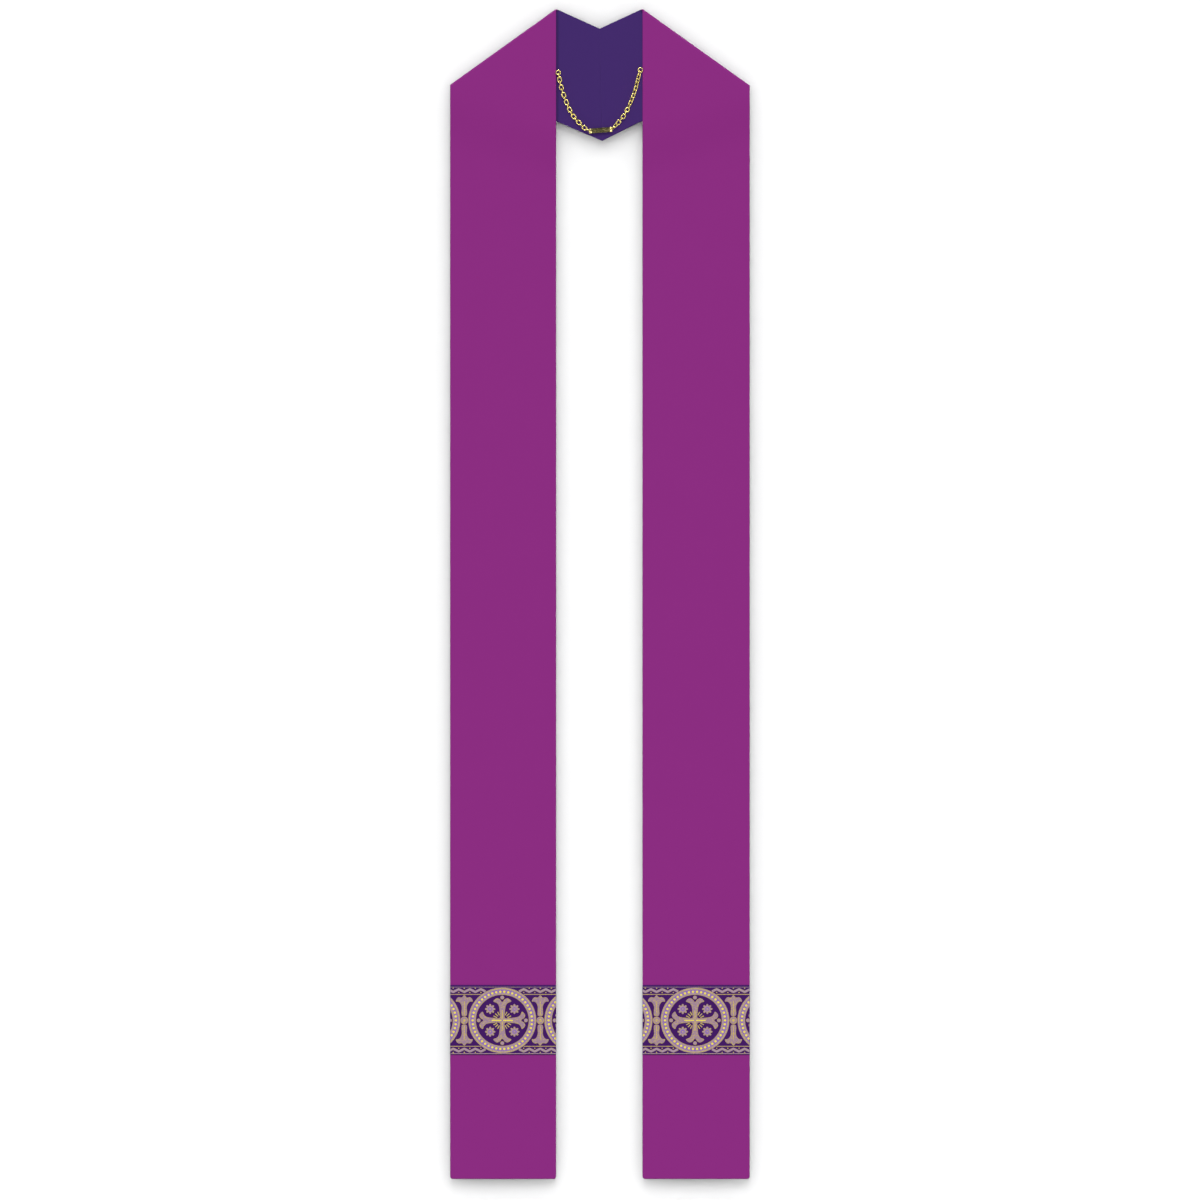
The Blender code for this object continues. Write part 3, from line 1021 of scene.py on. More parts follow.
@dataclass(frozen=True)
class Layer:
    """Outlines that lie in one flat layer of the ornament.

    Attributes:
        yarn: Its yarn.
        outlines: Closed outlines. One inside another is a hole.
        level: How many levels its top lies above the band's ground.
        inset: How far its edge lies in from the outlines.
    """

    yarn: Yarn
    outlines: list[Outline]
    level: float
    inset: float = 0.0

    def placed(self, across: float, squash: float = 1.0) -> Layer:
        """The layer moved along the band, with its heights made less by this factor."""
        made = [[Vector((point.x + across, point.y * squash)) for point in line] for line in self.outlines]
        return replace(self, outlines=made)


def rimmed(
    outlines: list[Outline], filling: Yarn, levels: Pair, inset: float = OUTLINE_INSET
) -> list[Layer]:
    """A tan layer, and on it a filling that leaves the tan as a rim, with the levels of both."""
    return [Layer(Yarn.TAN, outlines, levels[0]), Layer(filling, outlines, levels[1], inset)]


class Hoop(NamedTuple):
    """One ring of a roundel, with its outer and inner radius and the level of its top."""

    yarn: Yarn
    outer: float
    inner: float
    level: float


class Dot(NamedTuple):
    """A round dot of so many sides, and the level of its top."""

    radius: float
    sides: int
    level: float

    def outline(self) -> Outline:
        """The dot's edge, about the origin."""
        return circle(self.radius, self.sides)


@dataclass(frozen=True)
class Roundel:
    """A beaded ring round a cross, with four rosettes. Pairs of levels are a rim's and its filling's."""

    squash: float = 0.954  # its height against its width
    hoops: tuple[Hoop, ...] = (
        Hoop(Yarn.MAUVE, 0.0387, 0.0379, 13),
        Hoop(Yarn.OCHRE, 0.0379, 0.0371, 15),
        Hoop(Yarn.ROSE, 0.0371, 0.0361, 12),
        Hoop(Yarn.LILAC, 0.0361, 0.0325, 10),
        Hoop(Yarn.ROSE, 0.0325, 0.0307, 12),
        Hoop(Yarn.TAN, 0.0307, 0.0301, 14),
    )
    hoop_sides: int = 96
    bead: Dot = Dot(0.00136, 10, 17)
    bead_ring: float = 0.0338
    beads: int = 46
    arm: tuple[Point, ...] = (
        (0.0100, 0.0030), (0.0145, 0.0034), (0.0180, 0.0043), (0.0202, 0.0060), (0.0213, 0.0080),
        (0.0218, 0.0095), (0.0225, 0.0102), (0.0236, 0.0097), (0.0252, 0.0080), (0.0261, 0.0059),
        (0.0255, 0.0037), (0.0242, 0.0021), (0.0226, 0.0012), (0.0217, 0.0),
    )
    cross_half: float = 0.0029
    cross_levels: Pair = (10, 13)
    ball: Dot = Dot(0.0022, 20, 14)
    ball_rim: float = 11  # its level
    ball_place: float = 0.0269
    core: Pair = (0.0120, 0.0013)  # half length and width of the cross's gold lines
    core_eye: Dot = Dot(0.0009, 12, 16.5)
    rosette: tuple[float, float, int] = (0.0060, 0.0036, 8)
    rosette_levels: Pair = (10, 12)
    rosette_place: Point = (0.0138, 0.0134)
    rosette_eye: Dot = Dot(0.0026, 16, 14)
    rosette_seed: Dot = Dot(0.0008, 8, 16)
    ray_reach: Pair = (0.0068, 0.0113)
    ray_fan: float = math.radians(17)
    ray_width: float = 0.0011
    ray_level: float = 12

    def cross(self) -> Outline:
        """The whole cross as one outline."""
        quarter = [*reversed(mirrored(self.arm)), Vector((self.cross_half, self.cross_half))]
        return smooth([point for part in wreath(quarter, 4) for point in part])

    def rosettes(self, shape: Outline) -> list[Outline]:
        """A copy of this shape at each rosette's middle."""
        across, along = self.rosette_place
        return [moved(shape, x, y) for x in (-across, across) for y in (-along, along)]

    def rays(self) -> list[Outline]:
        """The rays between the cross's arms."""
        made = []
        for fan in (-self.ray_fan, 0, self.ray_fan):
            line = [polar(reach, math.pi / 4 + fan) for reach in self.ray_reach]
            made += wreath(stroke(line, self.ray_width), 4)
        return made

    def layers(self) -> list[Layer]:
        """The roundel's layers, about its middle."""
        half, width = self.core
        cores = wreath(stroke([Vector((self.core_eye.radius, 0)), Vector((half, 0))], width), 4)
        made = []
        for yarn, outer, inner, level in self.hoops:
            made.append(Layer(yarn, [circle(outer, self.hoop_sides), circle(inner, self.hoop_sides)], level))
        beads = wreath(moved(self.bead.outline(), self.bead_ring, 0), self.beads)
        balls = wreath(moved(self.ball.outline(), self.ball_place, 0), 4)
        made += [
            Layer(Yarn.GOLD, beads, self.bead.level),
            *rimmed([self.cross()], Yarn.MAUVE, self.cross_levels),
            *rimmed(balls, Yarn.ROSE, (self.ball_rim, self.ball.level)),
            *rimmed(self.rosettes(petalled(*self.rosette)), Yarn.ROSE, self.rosette_levels),
            Layer(Yarn.LILAC, self.rosettes(self.rosette_eye.outline()), self.rosette_eye.level),
            Layer(Yarn.OCHRE, self.rosettes(self.rosette_seed.outline()), self.rosette_seed.level),
            Layer(Yarn.OCHRE, self.rays(), self.ray_level),
            Layer(Yarn.GOLD, cores[::2], self.core_eye.level),
            Layer(Yarn.OCHRE, cores[1::2], self.core_eye.level),
            Layer(Yarn.LILAC, [self.core_eye.outline()], self.core_eye.level),
        ]
        return [layer.placed(0, self.squash) for layer in made]


@dataclass(frozen=True)
class Column:
    """A column between two roundels, with a boss in its middle."""

    half: tuple[Point, ...] = (
        (0.0056, 0.0028), (0.0140, 0.0028), (0.0170, 0.0033), (0.0192, 0.0044), (0.0206, 0.0058),
        (0.0212, 0.0075), (0.0211, 0.0089), (0.0217, 0.0096), (0.0233, 0.0092), (0.0252, 0.0079),
        (0.0261, 0.0060), (0.0257, 0.0040), (0.0260, 0.0023), (0.0274, 0.0013), (0.0285, 0.0),
    )
    levels: Pair = (10, 13)  # of its rim and of its filling
    boss: tuple[tuple[Yarn, Dot], ...] = (
        (Yarn.TAN, Dot(0.0043, 24, 13)),
        (Yarn.MAUVE, Dot(0.0037, 24, 15)),
        (Yarn.OCHRE, Dot(0.0016, 24, 17)),
    )
    line: Pair = (0.0058, 0.0215)  # its start and end, from the middle
    line_width: float = 0.0010
    line_level: float = 15

    def layers(self) -> list[Layer]:
        """The column's layers, about its middle."""
        half = turned(smooth(mirrored(self.half)), math.pi / 2)
        line = stroke([Vector((0, end)) for end in self.line], self.line_width)
        return [
            *rimmed(wreath(half, 2), Yarn.MAUVE, self.levels),
            Layer(Yarn.OCHRE, wreath(line, 2), self.line_level),
            *(Layer(yarn, [dot.outline()], dot.level) for yarn, dot in self.boss),
        ]


@dataclass(frozen=True)
class Border:
    """The zigzag along both edges of the band, with dots, a gold line inside it and a faint line outside."""

    roundel: Roundel
    pitch: float
    line_at: float = 0.0292
    line_width: float = 0.0009
    line_level: float = 11
    zigzag_at: float = 0.0335
    zigzag_swing: float = 0.00155
    zigzag_period: float = 0.0126
    zigzag_width: float = 0.0026
    zigzag_inset: float = 0.0002
    zigzag_levels: Pair = (9, 12)
    dot: Dot = Dot(0.0008, 8, 13)
    dots_at: Pair = (0.0361, 0.0314)  # outside and inside the zigzag
    edge_at: float = 0.0374
    edge_widths: Pair = (0.0005, 0.0009)  # at the top and at the bottom
    edge_level: float = 6
    edge_stop: float = 0.00005  # short of the roundels' middles
    steps: int = 12  # along a period

    def reach(self, height: float) -> float:
        """How far a line at this height runs each way from a column to the roundels' outer edges."""
        outer = self.roundel.hoops[0].outer
        return self.pitch / 2 - outer * math.sqrt(max(0.0, 1 - (height / (outer * self.roundel.squash)) ** 2))

    def wave(self, away: float) -> float:
        """The zigzag's height this far from the column between two roundels."""
        share = (away / self.zigzag_period) % 1
        return self.zigzag_at + self.zigzag_swing * (4 * min(share, 1 - share) - 1)

    def layers(self) -> list[Layer]:
        """The layers of both borders from one roundel to the next, about the column between them."""
        line_end = self.reach(self.line_at - self.line_width / 2)
        edge_end = self.pitch / 2 - self.edge_stop
        periods = self.reach(self.zigzag_at - self.zigzag_swing) / self.zigzag_period
        count = round(periods * self.steps)
        bends = [i * self.zigzag_period / self.steps for i in range(-count, count + 1)]
        outer_dots = [i * self.zigzag_period for i in range(-int(periods), int(periods) + 1)]
        inner_dots = [outer_dots[0] - self.zigzag_period / 2]
        inner_dots += [away + self.zigzag_period / 2 for away in outer_dots]
        lines, zigzags, dots, edges = [], [], [], []
        for sign, edge_width in zip((1, -1), self.edge_widths):
            lines.append(level_stroke(line_end, sign * self.line_at, self.line_width))
            edges.append(level_stroke(edge_end, sign * self.edge_at, edge_width))
            wave = [Vector((away, sign * self.wave(away))) for away in bends]
            zigzags.append(stroke(wave, self.zigzag_width))
            for places, height in zip((outer_dots, inner_dots), self.dots_at):
                dots += [moved(self.dot.outline(), away, sign * height) for away in places]
        return [
            *rimmed(zigzags, Yarn.ROSE, self.zigzag_levels, self.zigzag_inset),
            Layer(Yarn.TAN, lines, self.line_level),
            Layer(Yarn.TAN, dots, self.dot.level),
            Layer(Yarn.MAUVE, edges, self.edge_level),
        ]


@dataclass(frozen=True)
class Band:
    """The ornamental band across one front: its woven ground, the ornament, and the stitches that hold it."""

    strip: StripCloth
    middle_x: float  # of the roundel
    stretch: float  # of the ornament along the band
    bottom: float = 0.14
    height: float = 0.0785
    roundel_rise: float = 0.03865  # of the roundel's middle above the band's bottom edge
    pitch: float = 0.0865
    low: float = 0.00122
    ground: float = 0.00215
    edge_rows: tuple[float, ...] = (0.0, 0.00008, 0.00025, 0.0006, 0.001)
    middle_rows: int = 6
    clip: float = 0.0003
    sink: float = 0.0003  # of the ornament into the ground
    bevel: float = 0.00006
    stitch_length: float = 0.0020
    stitch_radius: float = 0.00016
    stitch_sides: int = 8
    stitch_pitch: float = 0.0033
    stitch_inset: float = 0.0007

    @property
    def bottom_y(self) -> float:
        """The band's lower edge."""
        return -LENGTH / 2 + self.bottom

    def cloth(self) -> Piece:
        """The ground of the band."""
        name = self.strip.side.name
        middle, half = (self.low + self.ground) / 2, (self.ground - self.low) / 2
        rows = []
        for rise in spaced(self.height, self.edge_rows, self.middle_rows):
            row = []
            for point, edge in self.strip.across(*self.strip.level(self.bottom_y + rise)):
                thickness = half * rounded(min(edge, rise, self.height - rise), self.strip.edge_round)
                row.append(Knot(point.to_3d() + UP * middle, UP, thickness, point, True))
            rows.append(row)
        piece = cloth_wall(f"{name}_band_ground", rows, "band_cloth", BAND_CLOTH, BAND_CLOTH)
        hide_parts(f"{name}_band")
        return piece

    def flat_layer(self, layer: Layer) -> Piece:
        """A layer of the ornament as a thin plate with a rounded rim, on the band's ground."""
        top = layer.level * LEVEL
        curve = bpy.data.curves.new("layer", "CURVE")
        curve.dimensions = "2D"
        curve.fill_mode = "BOTH"
        curve.bevel_depth = self.bevel
        curve.bevel_resolution = 0
        curve.extrude = (top + self.sink) / 2 - self.bevel
        curve.offset = -self.bevel - layer.inset
        for outline in layer.outlines:
            spline = curve.splines.new("POLY")
            spline.points.add(len(outline) - 1)
            for point, place in zip(spline.points, outline):
                point.co = (place.x * self.stretch, place.y, 0, 1)
            spline.use_cyclic_u = True
        made = linked("layer", curve)
        middle_y = self.bottom_y + self.roundel_rise
        made.location = (self.middle_x, middle_y, self.ground + (top - self.sink) / 2)
        select_only(made)
        bpy.ops.object.convert(target="MESH")
        return bpy.context.view_layer.objects.active

    def ornament(self, yarn: Yarn, layers: Sequence[Layer]) -> Piece:
        """All the layers of one yarn, cut off at the edges of the band."""
        side = self.strip.side
        name = f"{side.name}_band_{yarn.name.lower()}"
        piece = joined(name, [self.flat_layer(layer) for layer in layers if layer.yarn is yarn])
        with editing(piece):
            bpy.ops.mesh.remove_doubles(threshold=TINY)
            bpy.ops.mesh.normals_make_consistent(inside=False)
            for edge_x, sign in ((side.outer_x, side.sign), (side.inner_x, -side.sign)):
                bpy.ops.mesh.select_all(action="SELECT")
                bpy.ops.mesh.bisect(
                    plane_co=(edge_x - sign * self.clip, 0, 0),
                    plane_no=(sign, 0, 0),
                    use_fill=True,
                    clear_outer=True,
                    threshold=TINY,
                )
        dress(piece, "band_cloth", yarn.value.material())
        piece.data.shade_flat()
        return piece

    def stitches(self) -> Piece:
        """The running stitches along both edges of the band."""
        side = self.strip.side
        bpy.ops.mesh.primitive_uv_sphere_add(
            segments=self.stitch_sides, ring_count=self.stitch_sides - 2, radius=self.stitch_radius
        )
        model = bpy.context.object
        draw_out(model, 2, self.stitch_length / 2 - self.stitch_radius)
        model.data.transform(Matrix.Rotation(math.pi / 2, 4, "Y"))
        count = int(side.width / self.stitch_pitch)
        pieces = []
        for rise in (self.stitch_inset, self.height - self.stitch_inset):
            for i in range(count):
                x = side.middle_x + (i - (count - 1) / 2) * self.stitch_pitch
                place = Matrix.Translation((x, self.bottom_y + rise, self.ground - self.stitch_radius / 3))
                pieces.append(copied(model, "stitch", place))
        bpy.data.objects.remove(model)
        piece = joined(f"{side.name}_band_stitches", pieces)
        piece.data.shade_smooth()
        dress(piece, "band_cloth", DARK_THREAD.material())
        return piece

    def build(self) -> list[Piece]:
        """Models the band. The first piece is its ground."""
        roundel = Roundel()
        between = (-0.5, 0.5)
        parts = ((roundel, (-1, 0, 1)), (Column(), between), (Border(roundel, self.pitch), between))
        layers: list[Layer] = []
        for part, steps in parts:
            for step in steps:
                layers += [layer.placed(self.pitch * step) for layer in part.layers()]
        return [self.cloth(), self.stitches()] + [self.ornament(yarn, layers) for yarn in Yarn]


# ---------- chain


class ChainLine:
    """A smooth line through the bends of one half of the chain, read by the distance from its start."""

    SAMPLES = 24  # between two bends

    def __init__(self, bends: list[Vector]) -> None:
        """Traces the line through its bends, seen from above."""
        knots = [2 * bends[0] - bends[1], *bends, 2 * bends[-1] - bends[-2]]
        self.points = [bends[0]]
        for near in zip(knots, knots[1:], knots[2:], knots[3:]):
            self.points += [curve_point(*near, step / self.SAMPLES) for step in range(1, self.SAMPLES + 1)]
        self.distances = [0.0]
        for here, there in zip(self.points, self.points[1:]):
            self.distances.append(self.distances[-1] + (there - here).length)

    @property
    def length(self) -> float:
        """The whole line's length."""
        return self.distances[-1]

    def at(self, distance: float) -> Vector:
        """The point this far along the line."""
        index = next(i for i, reached in enumerate(self.distances) if reached >= min(distance, self.length))
        if index == 0:
            return self.points[0].copy()
        start, end = self.distances[index - 1], self.distances[index]
        return self.points[index - 1].lerp(self.points[index], (distance - start) / (end - start))

    def heading(self, distance: float) -> float:
        """The line's direction there, as an angle from +X."""
        step = LINK_LENGTH / 4
        ahead = self.at(distance + step) - self.at(distance - step)
        return math.atan2(ahead.y, ahead.x)


@dataclass(frozen=True)
class Bar:
    """The bar in the middle of the chain: a darkened plain recess in a rim, between two pale holed ends."""

    DARK, WORN = 1, 2  # places of its materials, after the pale one

    length: float = 0.0206
    height: float = 0.0056
    thickness: float = 0.0015
    rim: float = 0.0004
    recess: float = 0.00035
    recess_draft: float = 0.0001
    place: Point = (0.0007, 0.1369)  # across, down
    tilt: float = math.radians(4.5)
    end_size: Size = (0.0027, 0.0053, 0.0017)
    end_reach: float = 0.0117
    lug_reach: float = 0.0116
    lug_hole: float = 0.0009
    lug_sides: int = 32
    bevel: float = 0.00014
    bevel_steps: int = 3
    bevelled_angle: float = math.radians(40)
    smooth_angle: float = math.radians(35)

    def hole(self, side: Side) -> Vector:
        """The middle of the hole in the lug on this side, seen from above."""
        return plan_point(*self.place) + polar(side.sign * self.lug_reach, self.tilt)

    def block(self) -> Piece:
        """The bar's body with both of its holed ends."""
        select_only()
        bpy.ops.mesh.primitive_cube_add(size=1, scale=(self.length, self.height, self.thickness))
        bar = bpy.context.object
        bpy.ops.object.transform_apply(location=False, rotation=False, scale=True)
        for sign in (-1, 1):
            end_at, hole_at = (sign * self.end_reach, 0, 0), (sign * self.lug_reach, 0, 0)
            bpy.ops.mesh.primitive_cube_add(size=1, scale=self.end_size, location=end_at)
            end = bpy.context.object
            bpy.ops.mesh.primitive_cylinder_add(
                vertices=self.lug_sides, radius=self.lug_hole, depth=2 * self.thickness, location=hole_at
            )
            for operation, tool in (("UNION", end), ("DIFFERENCE", bpy.context.object)):
                applied(bar, "BOOLEAN", operation=operation, object=tool, solver="EXACT")
                bpy.data.objects.remove(tool)
        return bar

    def sink_recess(self, bar: Piece) -> None:
        """Sinks the recess into the bar's top, and gives the recess and the body their own materials."""
        top = self.thickness / 2
        with editing(bar):
            bpy.ops.mesh.select_mode(type="FACE")
            for face in bmesh.from_edit_mesh(bar.data).faces:
                face.select = all(abs(vert.co.z - top) < TINY for vert in face.verts)
            bmesh.update_edit_mesh(bar.data)
            bpy.ops.mesh.inset(thickness=self.rim, depth=0)
            bpy.ops.mesh.inset(thickness=self.recess_draft, depth=-self.recess)
            # The recess gets the darkened metal; the rim and the body's sides between the ends get the
            # near-black metal.
            for face in bmesh.from_edit_mesh(bar.data).faces:
                if face.select:
                    face.material_index = self.DARK
                elif abs(face.calc_center_median().x) < self.end_reach - self.end_size[0] / 2 - TINY:
                    face.material_index = self.WORN
            bpy.ops.mesh.select_mode(type="VERT")

    def build(self) -> Piece:
        """Models the bar."""
        bar = self.block()
        self.sink_recess(bar)
        dress(bar, "gold_metal", *(metal.material() for metal in (PALE_METAL, DARK_METAL, WORN_METAL)))
        limit = {"limit_method": "ANGLE", "angle_limit": self.bevelled_angle}
        applied(bar, "BEVEL", width=self.bevel, segments=self.bevel_steps, **limit)
        at = plan_point(*self.place).to_3d() + UP * CHAIN_MIDDLE
        bar.data.transform(Matrix.Translation(at) @ Matrix.Rotation(self.tilt, 4, "Z"))
        bar.name = "chain_bar_plate"
        select_only(bar)
        bpy.ops.object.shade_smooth_by_angle(angle=self.smooth_angle)
        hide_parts("chain_bar")
        return bar


@dataclass(frozen=True)
class ChainHalf:
    """The ring on one front and the links from it to the bar, with the thread that sews the ring on.

    Attributes:
        side: Which front.
        bends: The line of this half from its ring to the bar: across, and down from the top of the shoulders.
        twist: How far each link is turned about the chain's line, in degrees, from the ring to the bar.
    """

    side: Side
    bends: tuple[Point, ...]
    twist: tuple[float, ...]
    ring_radius: float = 0.0024
    ring_play: float = 0.0004
    ring_steps: int = 36
    link_steps: int = 24
    wire_sides: int = 16
    loops: tuple[float, ...] = (-12, 0, 12)  # degrees round the ring from its side on the front
    loop_steps: int = 20
    thread: float = 0.00018
    thread_sides: int = 6
    inside: float = 0.66  # how squarely a face of the wire must look inwards to get the painted shade

    @property
    def ring_middle(self) -> Vector:
        """The middle of the ring."""
        return plan_point(*self.bends[0]).to_3d() + UP * CHAIN_MIDDLE

    def plated(self, radius: float, steps: int, straight: float = 0.0) -> Piece:
        """A ring of the chain's wire, flat about the origin, with painted shade on the inner side of its
        wire.

        Args:
            radius: Of its round ends, to the middle of the wire.
            steps: Round the ring.
            straight: Half the length of its straight sides, along X.

        Returns:
            The ring, or the link if it has straight sides.
        """
        made = wire_ring(radius, WIRE / 2, steps, self.wire_sides)
        if straight:
            draw_out(made, 0, straight)
        for metal in (GOLD_METAL, SHADE_PAINTED_METAL):
            made.data.materials.append(metal.material())
        # Faces that look inwards get the painted shade.
        for face in made.data.polygons:
            outwards = Vector(face.center)
            outwards.x -= min(max(outwards.x, -straight), straight)
            outwards.z = 0
            face.material_index = int(-face.normal.dot(outwards.normalized()) > self.inside)
        made.data.shade_smooth()
        return made

    def ring(self) -> Piece:
        """The ring on the front's inner edge."""
        ring = self.plated(self.ring_radius, self.ring_steps)
        ring.data.transform(Matrix.Translation(self.ring_middle))
        ring.name = f"{self.side.name}_chain_ring"
        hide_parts(f"{self.side.name}_ring")
        return ring

    def links(self, bar: Bar) -> Piece:
        """All the links of this half. Every other one stands on its edge, apart from its twist."""
        line = ChainLine([plan_point(*bend) for bend in self.bends] + [bar.hole(self.side)])
        model = self.plated((LINK_WIDTH - WIRE) / 2, self.link_steps, (LINK_LENGTH - LINK_WIDTH) / 2)
        half_link = (LINK_LENGTH - WIRE) / 2
        first = self.ring_radius - WIRE - self.ring_play + half_link
        last = line.length - half_link
        pieces = []
        for i, twist in enumerate(self.twist):
            distance = first + (last - first) * i / (len(self.twist) - 1)
            upright = 0.0 if i % 2 else math.pi / 2
            place = (
                Matrix.Translation(line.at(distance).to_3d() + UP * CHAIN_MIDDLE)
                @ Matrix.Rotation(line.heading(distance), 4, "Z")
                @ Matrix.Rotation(upright + math.radians(twist), 4, "X")
            )
            pieces.append(copied(model, "link", place))
        bpy.data.objects.remove(model)
        piece = joined(f"{self.side.name}_chain_links", pieces)
        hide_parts(*(f"{self.side.name}_link_{i + 1:02d}" for i in range(len(self.twist))))
        return piece

    def sewing(self) -> Piece:
        """Loops of thread round the ring's wire, which go down into the front's edge."""
        foot = RAISED_MIDDLE + STRIP_WALL / 4  # inside the front
        pieces = []
        for degrees in self.loops:
            outwards = polar(1, math.radians(degrees)).to_3d()
            outwards.x *= self.side.sign
            loop = wire_ring(WIRE / 2 + self.thread, self.thread, self.loop_steps, self.thread_sides)
            draw_out(loop, 1, CHAIN_MIDDLE - WIRE / 2 - foot, signs=(-1,))
            frame = Matrix((outwards, UP, outwards.cross(UP))).transposed().to_4x4()
            loop.data.transform(Matrix.Translation(self.ring_middle + outwards * self.ring_radius) @ frame)
            pieces.append(loop)
        piece = joined(f"{self.side.name}_ring_thread", pieces)
        with editing(piece):
            bpy.ops.mesh.normals_make_consistent(inside=False)
        piece.data.shade_smooth()
        dress(piece, "face_cloth", SEWING_THREAD.material())
        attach(piece, "stole")
        return piece


# ---------- studio


@dataclass(frozen=True)
class Sun:
    """A sun lamp.

    Attributes:
        name: Its name.
        energy: Its strength.
        size: How wide it is in the sky, in degrees.
        rise: How high it stands above the floor, in degrees.
        turn: From beyond the neck round to it, in degrees.
    """

    name: str
    energy: float
    size: float
    rise: float
    turn: float = 0.0

    def group(self, use: str, pieces: Pieces) -> bpy.types.Collection:
        """The pieces as a collection that this lamp may be kept to."""
        made = bpy.data.collections.new(f"{self.name}_{use}")
        for piece in pieces:
            made.objects.link(piece)
        return made

    def build(self, lit: Pieces = (), spared: Pieces = (), in_the_way: Pieces = ()) -> None:
        """Adds the lamp.

        Args:
            lit: The only pieces that it falls on. None given means every piece.
            spared: Pieces that it doesn't fall on, if no lit ones are given.
            in_the_way: The only pieces that throw its shadows. None given means every piece.
        """
        data = bpy.data.lights.new(self.name, "SUN")
        data.energy = self.energy
        data.angle = math.radians(self.size)
        lamp = linked(self.name, data)
        lamp.rotation_euler = (math.radians(self.rise) - math.pi / 2, 0, math.radians(self.turn))
        if lit:
            lamp.light_linking.receiver_collection = self.group("lit", lit)
        elif spared:
            group = self.group("spared", spared)
            for item in group.collection_objects:
                item.light_linking.link_state = "EXCLUDE"
            lamp.light_linking.receiver_collection = group
        if in_the_way:
            lamp.light_linking.blocker_collection = self.group("in_the_way", in_the_way)


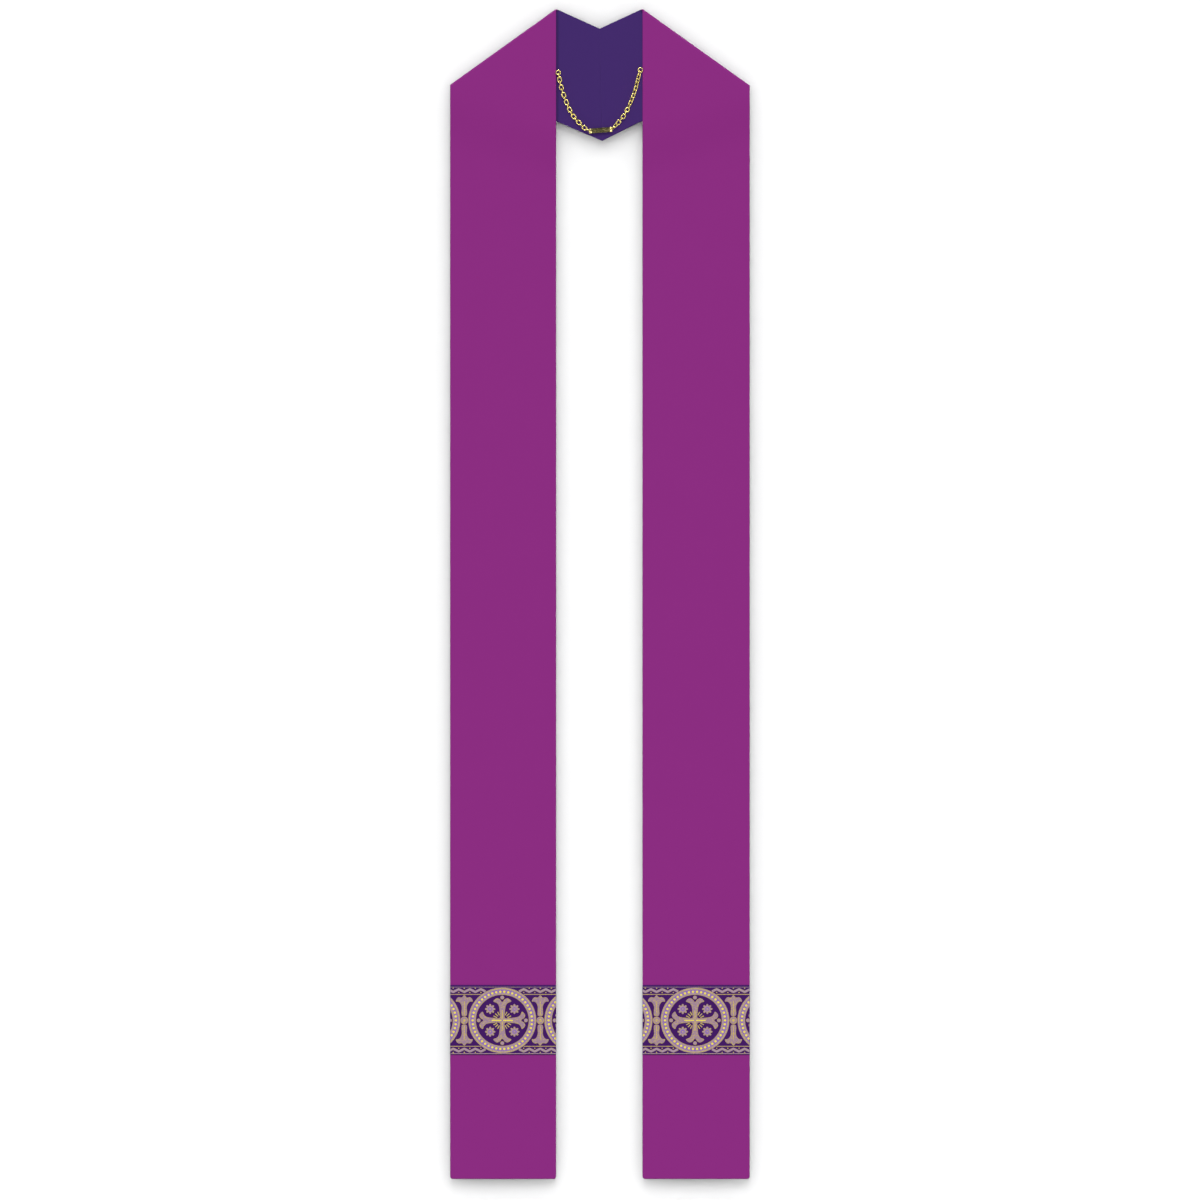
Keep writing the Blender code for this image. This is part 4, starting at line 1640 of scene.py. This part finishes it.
@dataclass(frozen=True)
class Studio:
    """A plain pale floor, soft light from all over and from beyond the neck, and a camera straight above."""

    floor_drop: float = 0.0001
    floor_size: float = 40.0
    floor_colour: Colour = (0.52, 0.52, 0.523)
    scatter_size: float = 0.075
    camera_height: float = 8.0
    camera_reach: float = 100.0
    view_width: float = 1.3508
    view_middle: Point = (0.00008, -0.00678)
    sensor: float = 36.0
    sky: float = 0.5
    key: Sun = Sun("soft_key", 2.49, size=20, rise=50)
    lining_key: Sun = Sun("lining_key", 1.264, size=8, rise=50)
    lining_side: Sun = Sun("lining_side", 2.745, size=15, rise=20, turn=90)
    skim: Sun = Sun("floor_skim", 26.0, size=10, rise=7)
    glints: tuple[Sun, ...] = (
        Sun("left_glint", 1.05, size=45, rise=35, turn=115),
        Sun("right_glint", 1.05, size=45, rise=35, turn=-115),
    )

    def floor(self) -> Piece:
        """The floor, of a material that light goes a little way into."""
        select_only()
        bpy.ops.mesh.primitive_plane_add(size=self.floor_size, location=(0, 0, -self.floor_drop))
        floor = bpy.context.object
        floor.name = "floor"
        bench = Bench("floor_paper")
        floor.data.materials.append(bench.finish({
            "Base Color": (*self.floor_colour, 1),
            "Roughness": 1.0,
            "Specular IOR Level": 0.0,
            "Subsurface Weight": 1.0,
            "Subsurface Radius": (1.0, 1.0, 1.0),
            "Subsurface Scale": self.scatter_size,
        }))
        bench.shader.subsurface_method = "BURLEY"
        return floor

    def camera(self) -> None:
        """A long lens straight above the stole."""
        data = bpy.data.cameras.new("camera")
        data.sensor_width = self.sensor
        data.sensor_fit = "HORIZONTAL"
        data.lens = self.sensor * self.camera_height / self.view_width
        data.clip_end = self.camera_reach
        camera = linked("camera", data)
        camera.location = (*self.view_middle, self.camera_height)
        bpy.context.scene.camera = camera

    def world(self) -> None:
        """The same pale light from all over."""
        world = bpy.data.worlds.new("pale_room")
        bpy.context.scene.world = world
        world.use_nodes = True
        background = world.node_tree.nodes["Background"]
        background.inputs["Color"].default_value = (1, 1, 1, 1)
        background.inputs["Strength"].default_value = self.sky

    def build(self, strips: Pieces, linings: Pieces, chain: Pieces) -> None:
        """Sets the studio up.

        Args:
            strips: What throws the shadows of the skim light and of the linings' side light.
            linings: What the linings' own two lights fall on, and the key light spares.
            chain: What the glint lights fall on.
        """
        self.camera()
        floor = self.floor()
        self.world()
        self.key.build(spared=linings)
        self.lining_key.build(lit=linings)
        self.lining_side.build(lit=linings, in_the_way=strips)
        self.skim.build(lit=[floor], in_the_way=strips)
        for glint in self.glints:
            glint.build(lit=chain)
        bpy.context.scene.view_settings.view_transform = "Standard"


CHAIN = (
    ChainHalf(
        LEFT,
        bends=((-0.0469, 0.0718), (-0.0433, 0.0887), (-0.0377, 0.1050), (-0.0300, 0.1205), (-0.0180, 0.1335)),
        twist=(0, 5, 5, 5, 4, 3, 8, 14, 18, 20, 20, 20, 18, 16, 12, 8, 0),
    ),
    ChainHalf(
        RIGHT,
        bends=(
            (0.0455, 0.0689), (0.0420, 0.0824), (0.0387, 0.0944), (0.0333, 0.1079), (0.0264, 0.1211),
            (0.0160, 0.1330),
        ),
        twist=(28, 40, 45, 45, 45, 45, 45, 45, 46, 62, 85, 90, 90, 88, 74, 46, 18),
    ),
)
ORNAMENT = {"left": (-0.10988, 0.989), "right": (0.1070, 1.0)}  # the roundel's middle, and the stretch


def corners(box: tuple[Vector, Vector]) -> list[list[float]]:
    """A box as plain lists of numbers."""
    return [[float(value) for value in corner] for corner in box]


def build_side(side: Side) -> tuple[Piece, Piece]:
    """Builds all the cloth of one side, and gives its strip and its neck lining."""
    strip = StripCloth(side)
    lining = NeckLining(strip)
    band = Band(strip, *ORNAMENT[side.name])
    strip_piece, lining_piece = strip.build(), lining.build()
    ground, *trim = band.build()
    for piece in (strip_piece, lining_piece, ground, *trim):
        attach(piece, "stole")
        report(piece)
    return strip_piece, lining_piece


def main() -> None:
    """Builds the whole stole on the frame of its solids."""
    logging.basicConfig(level=logging.INFO, format="%(message)s")
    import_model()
    strips, linings = zip(*(build_side(side) for side in (LEFT, RIGHT)))
    bar = Bar()
    chain = [bar.build()]
    for half in CHAIN:
        chain += [half.ring(), half.links(bar)]
        report(half.sewing())
    for piece in chain:
        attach(piece, "chain")
        report(piece)
    Studio().build(strips, linings, chain)


if __name__ == "__main__":
    main()
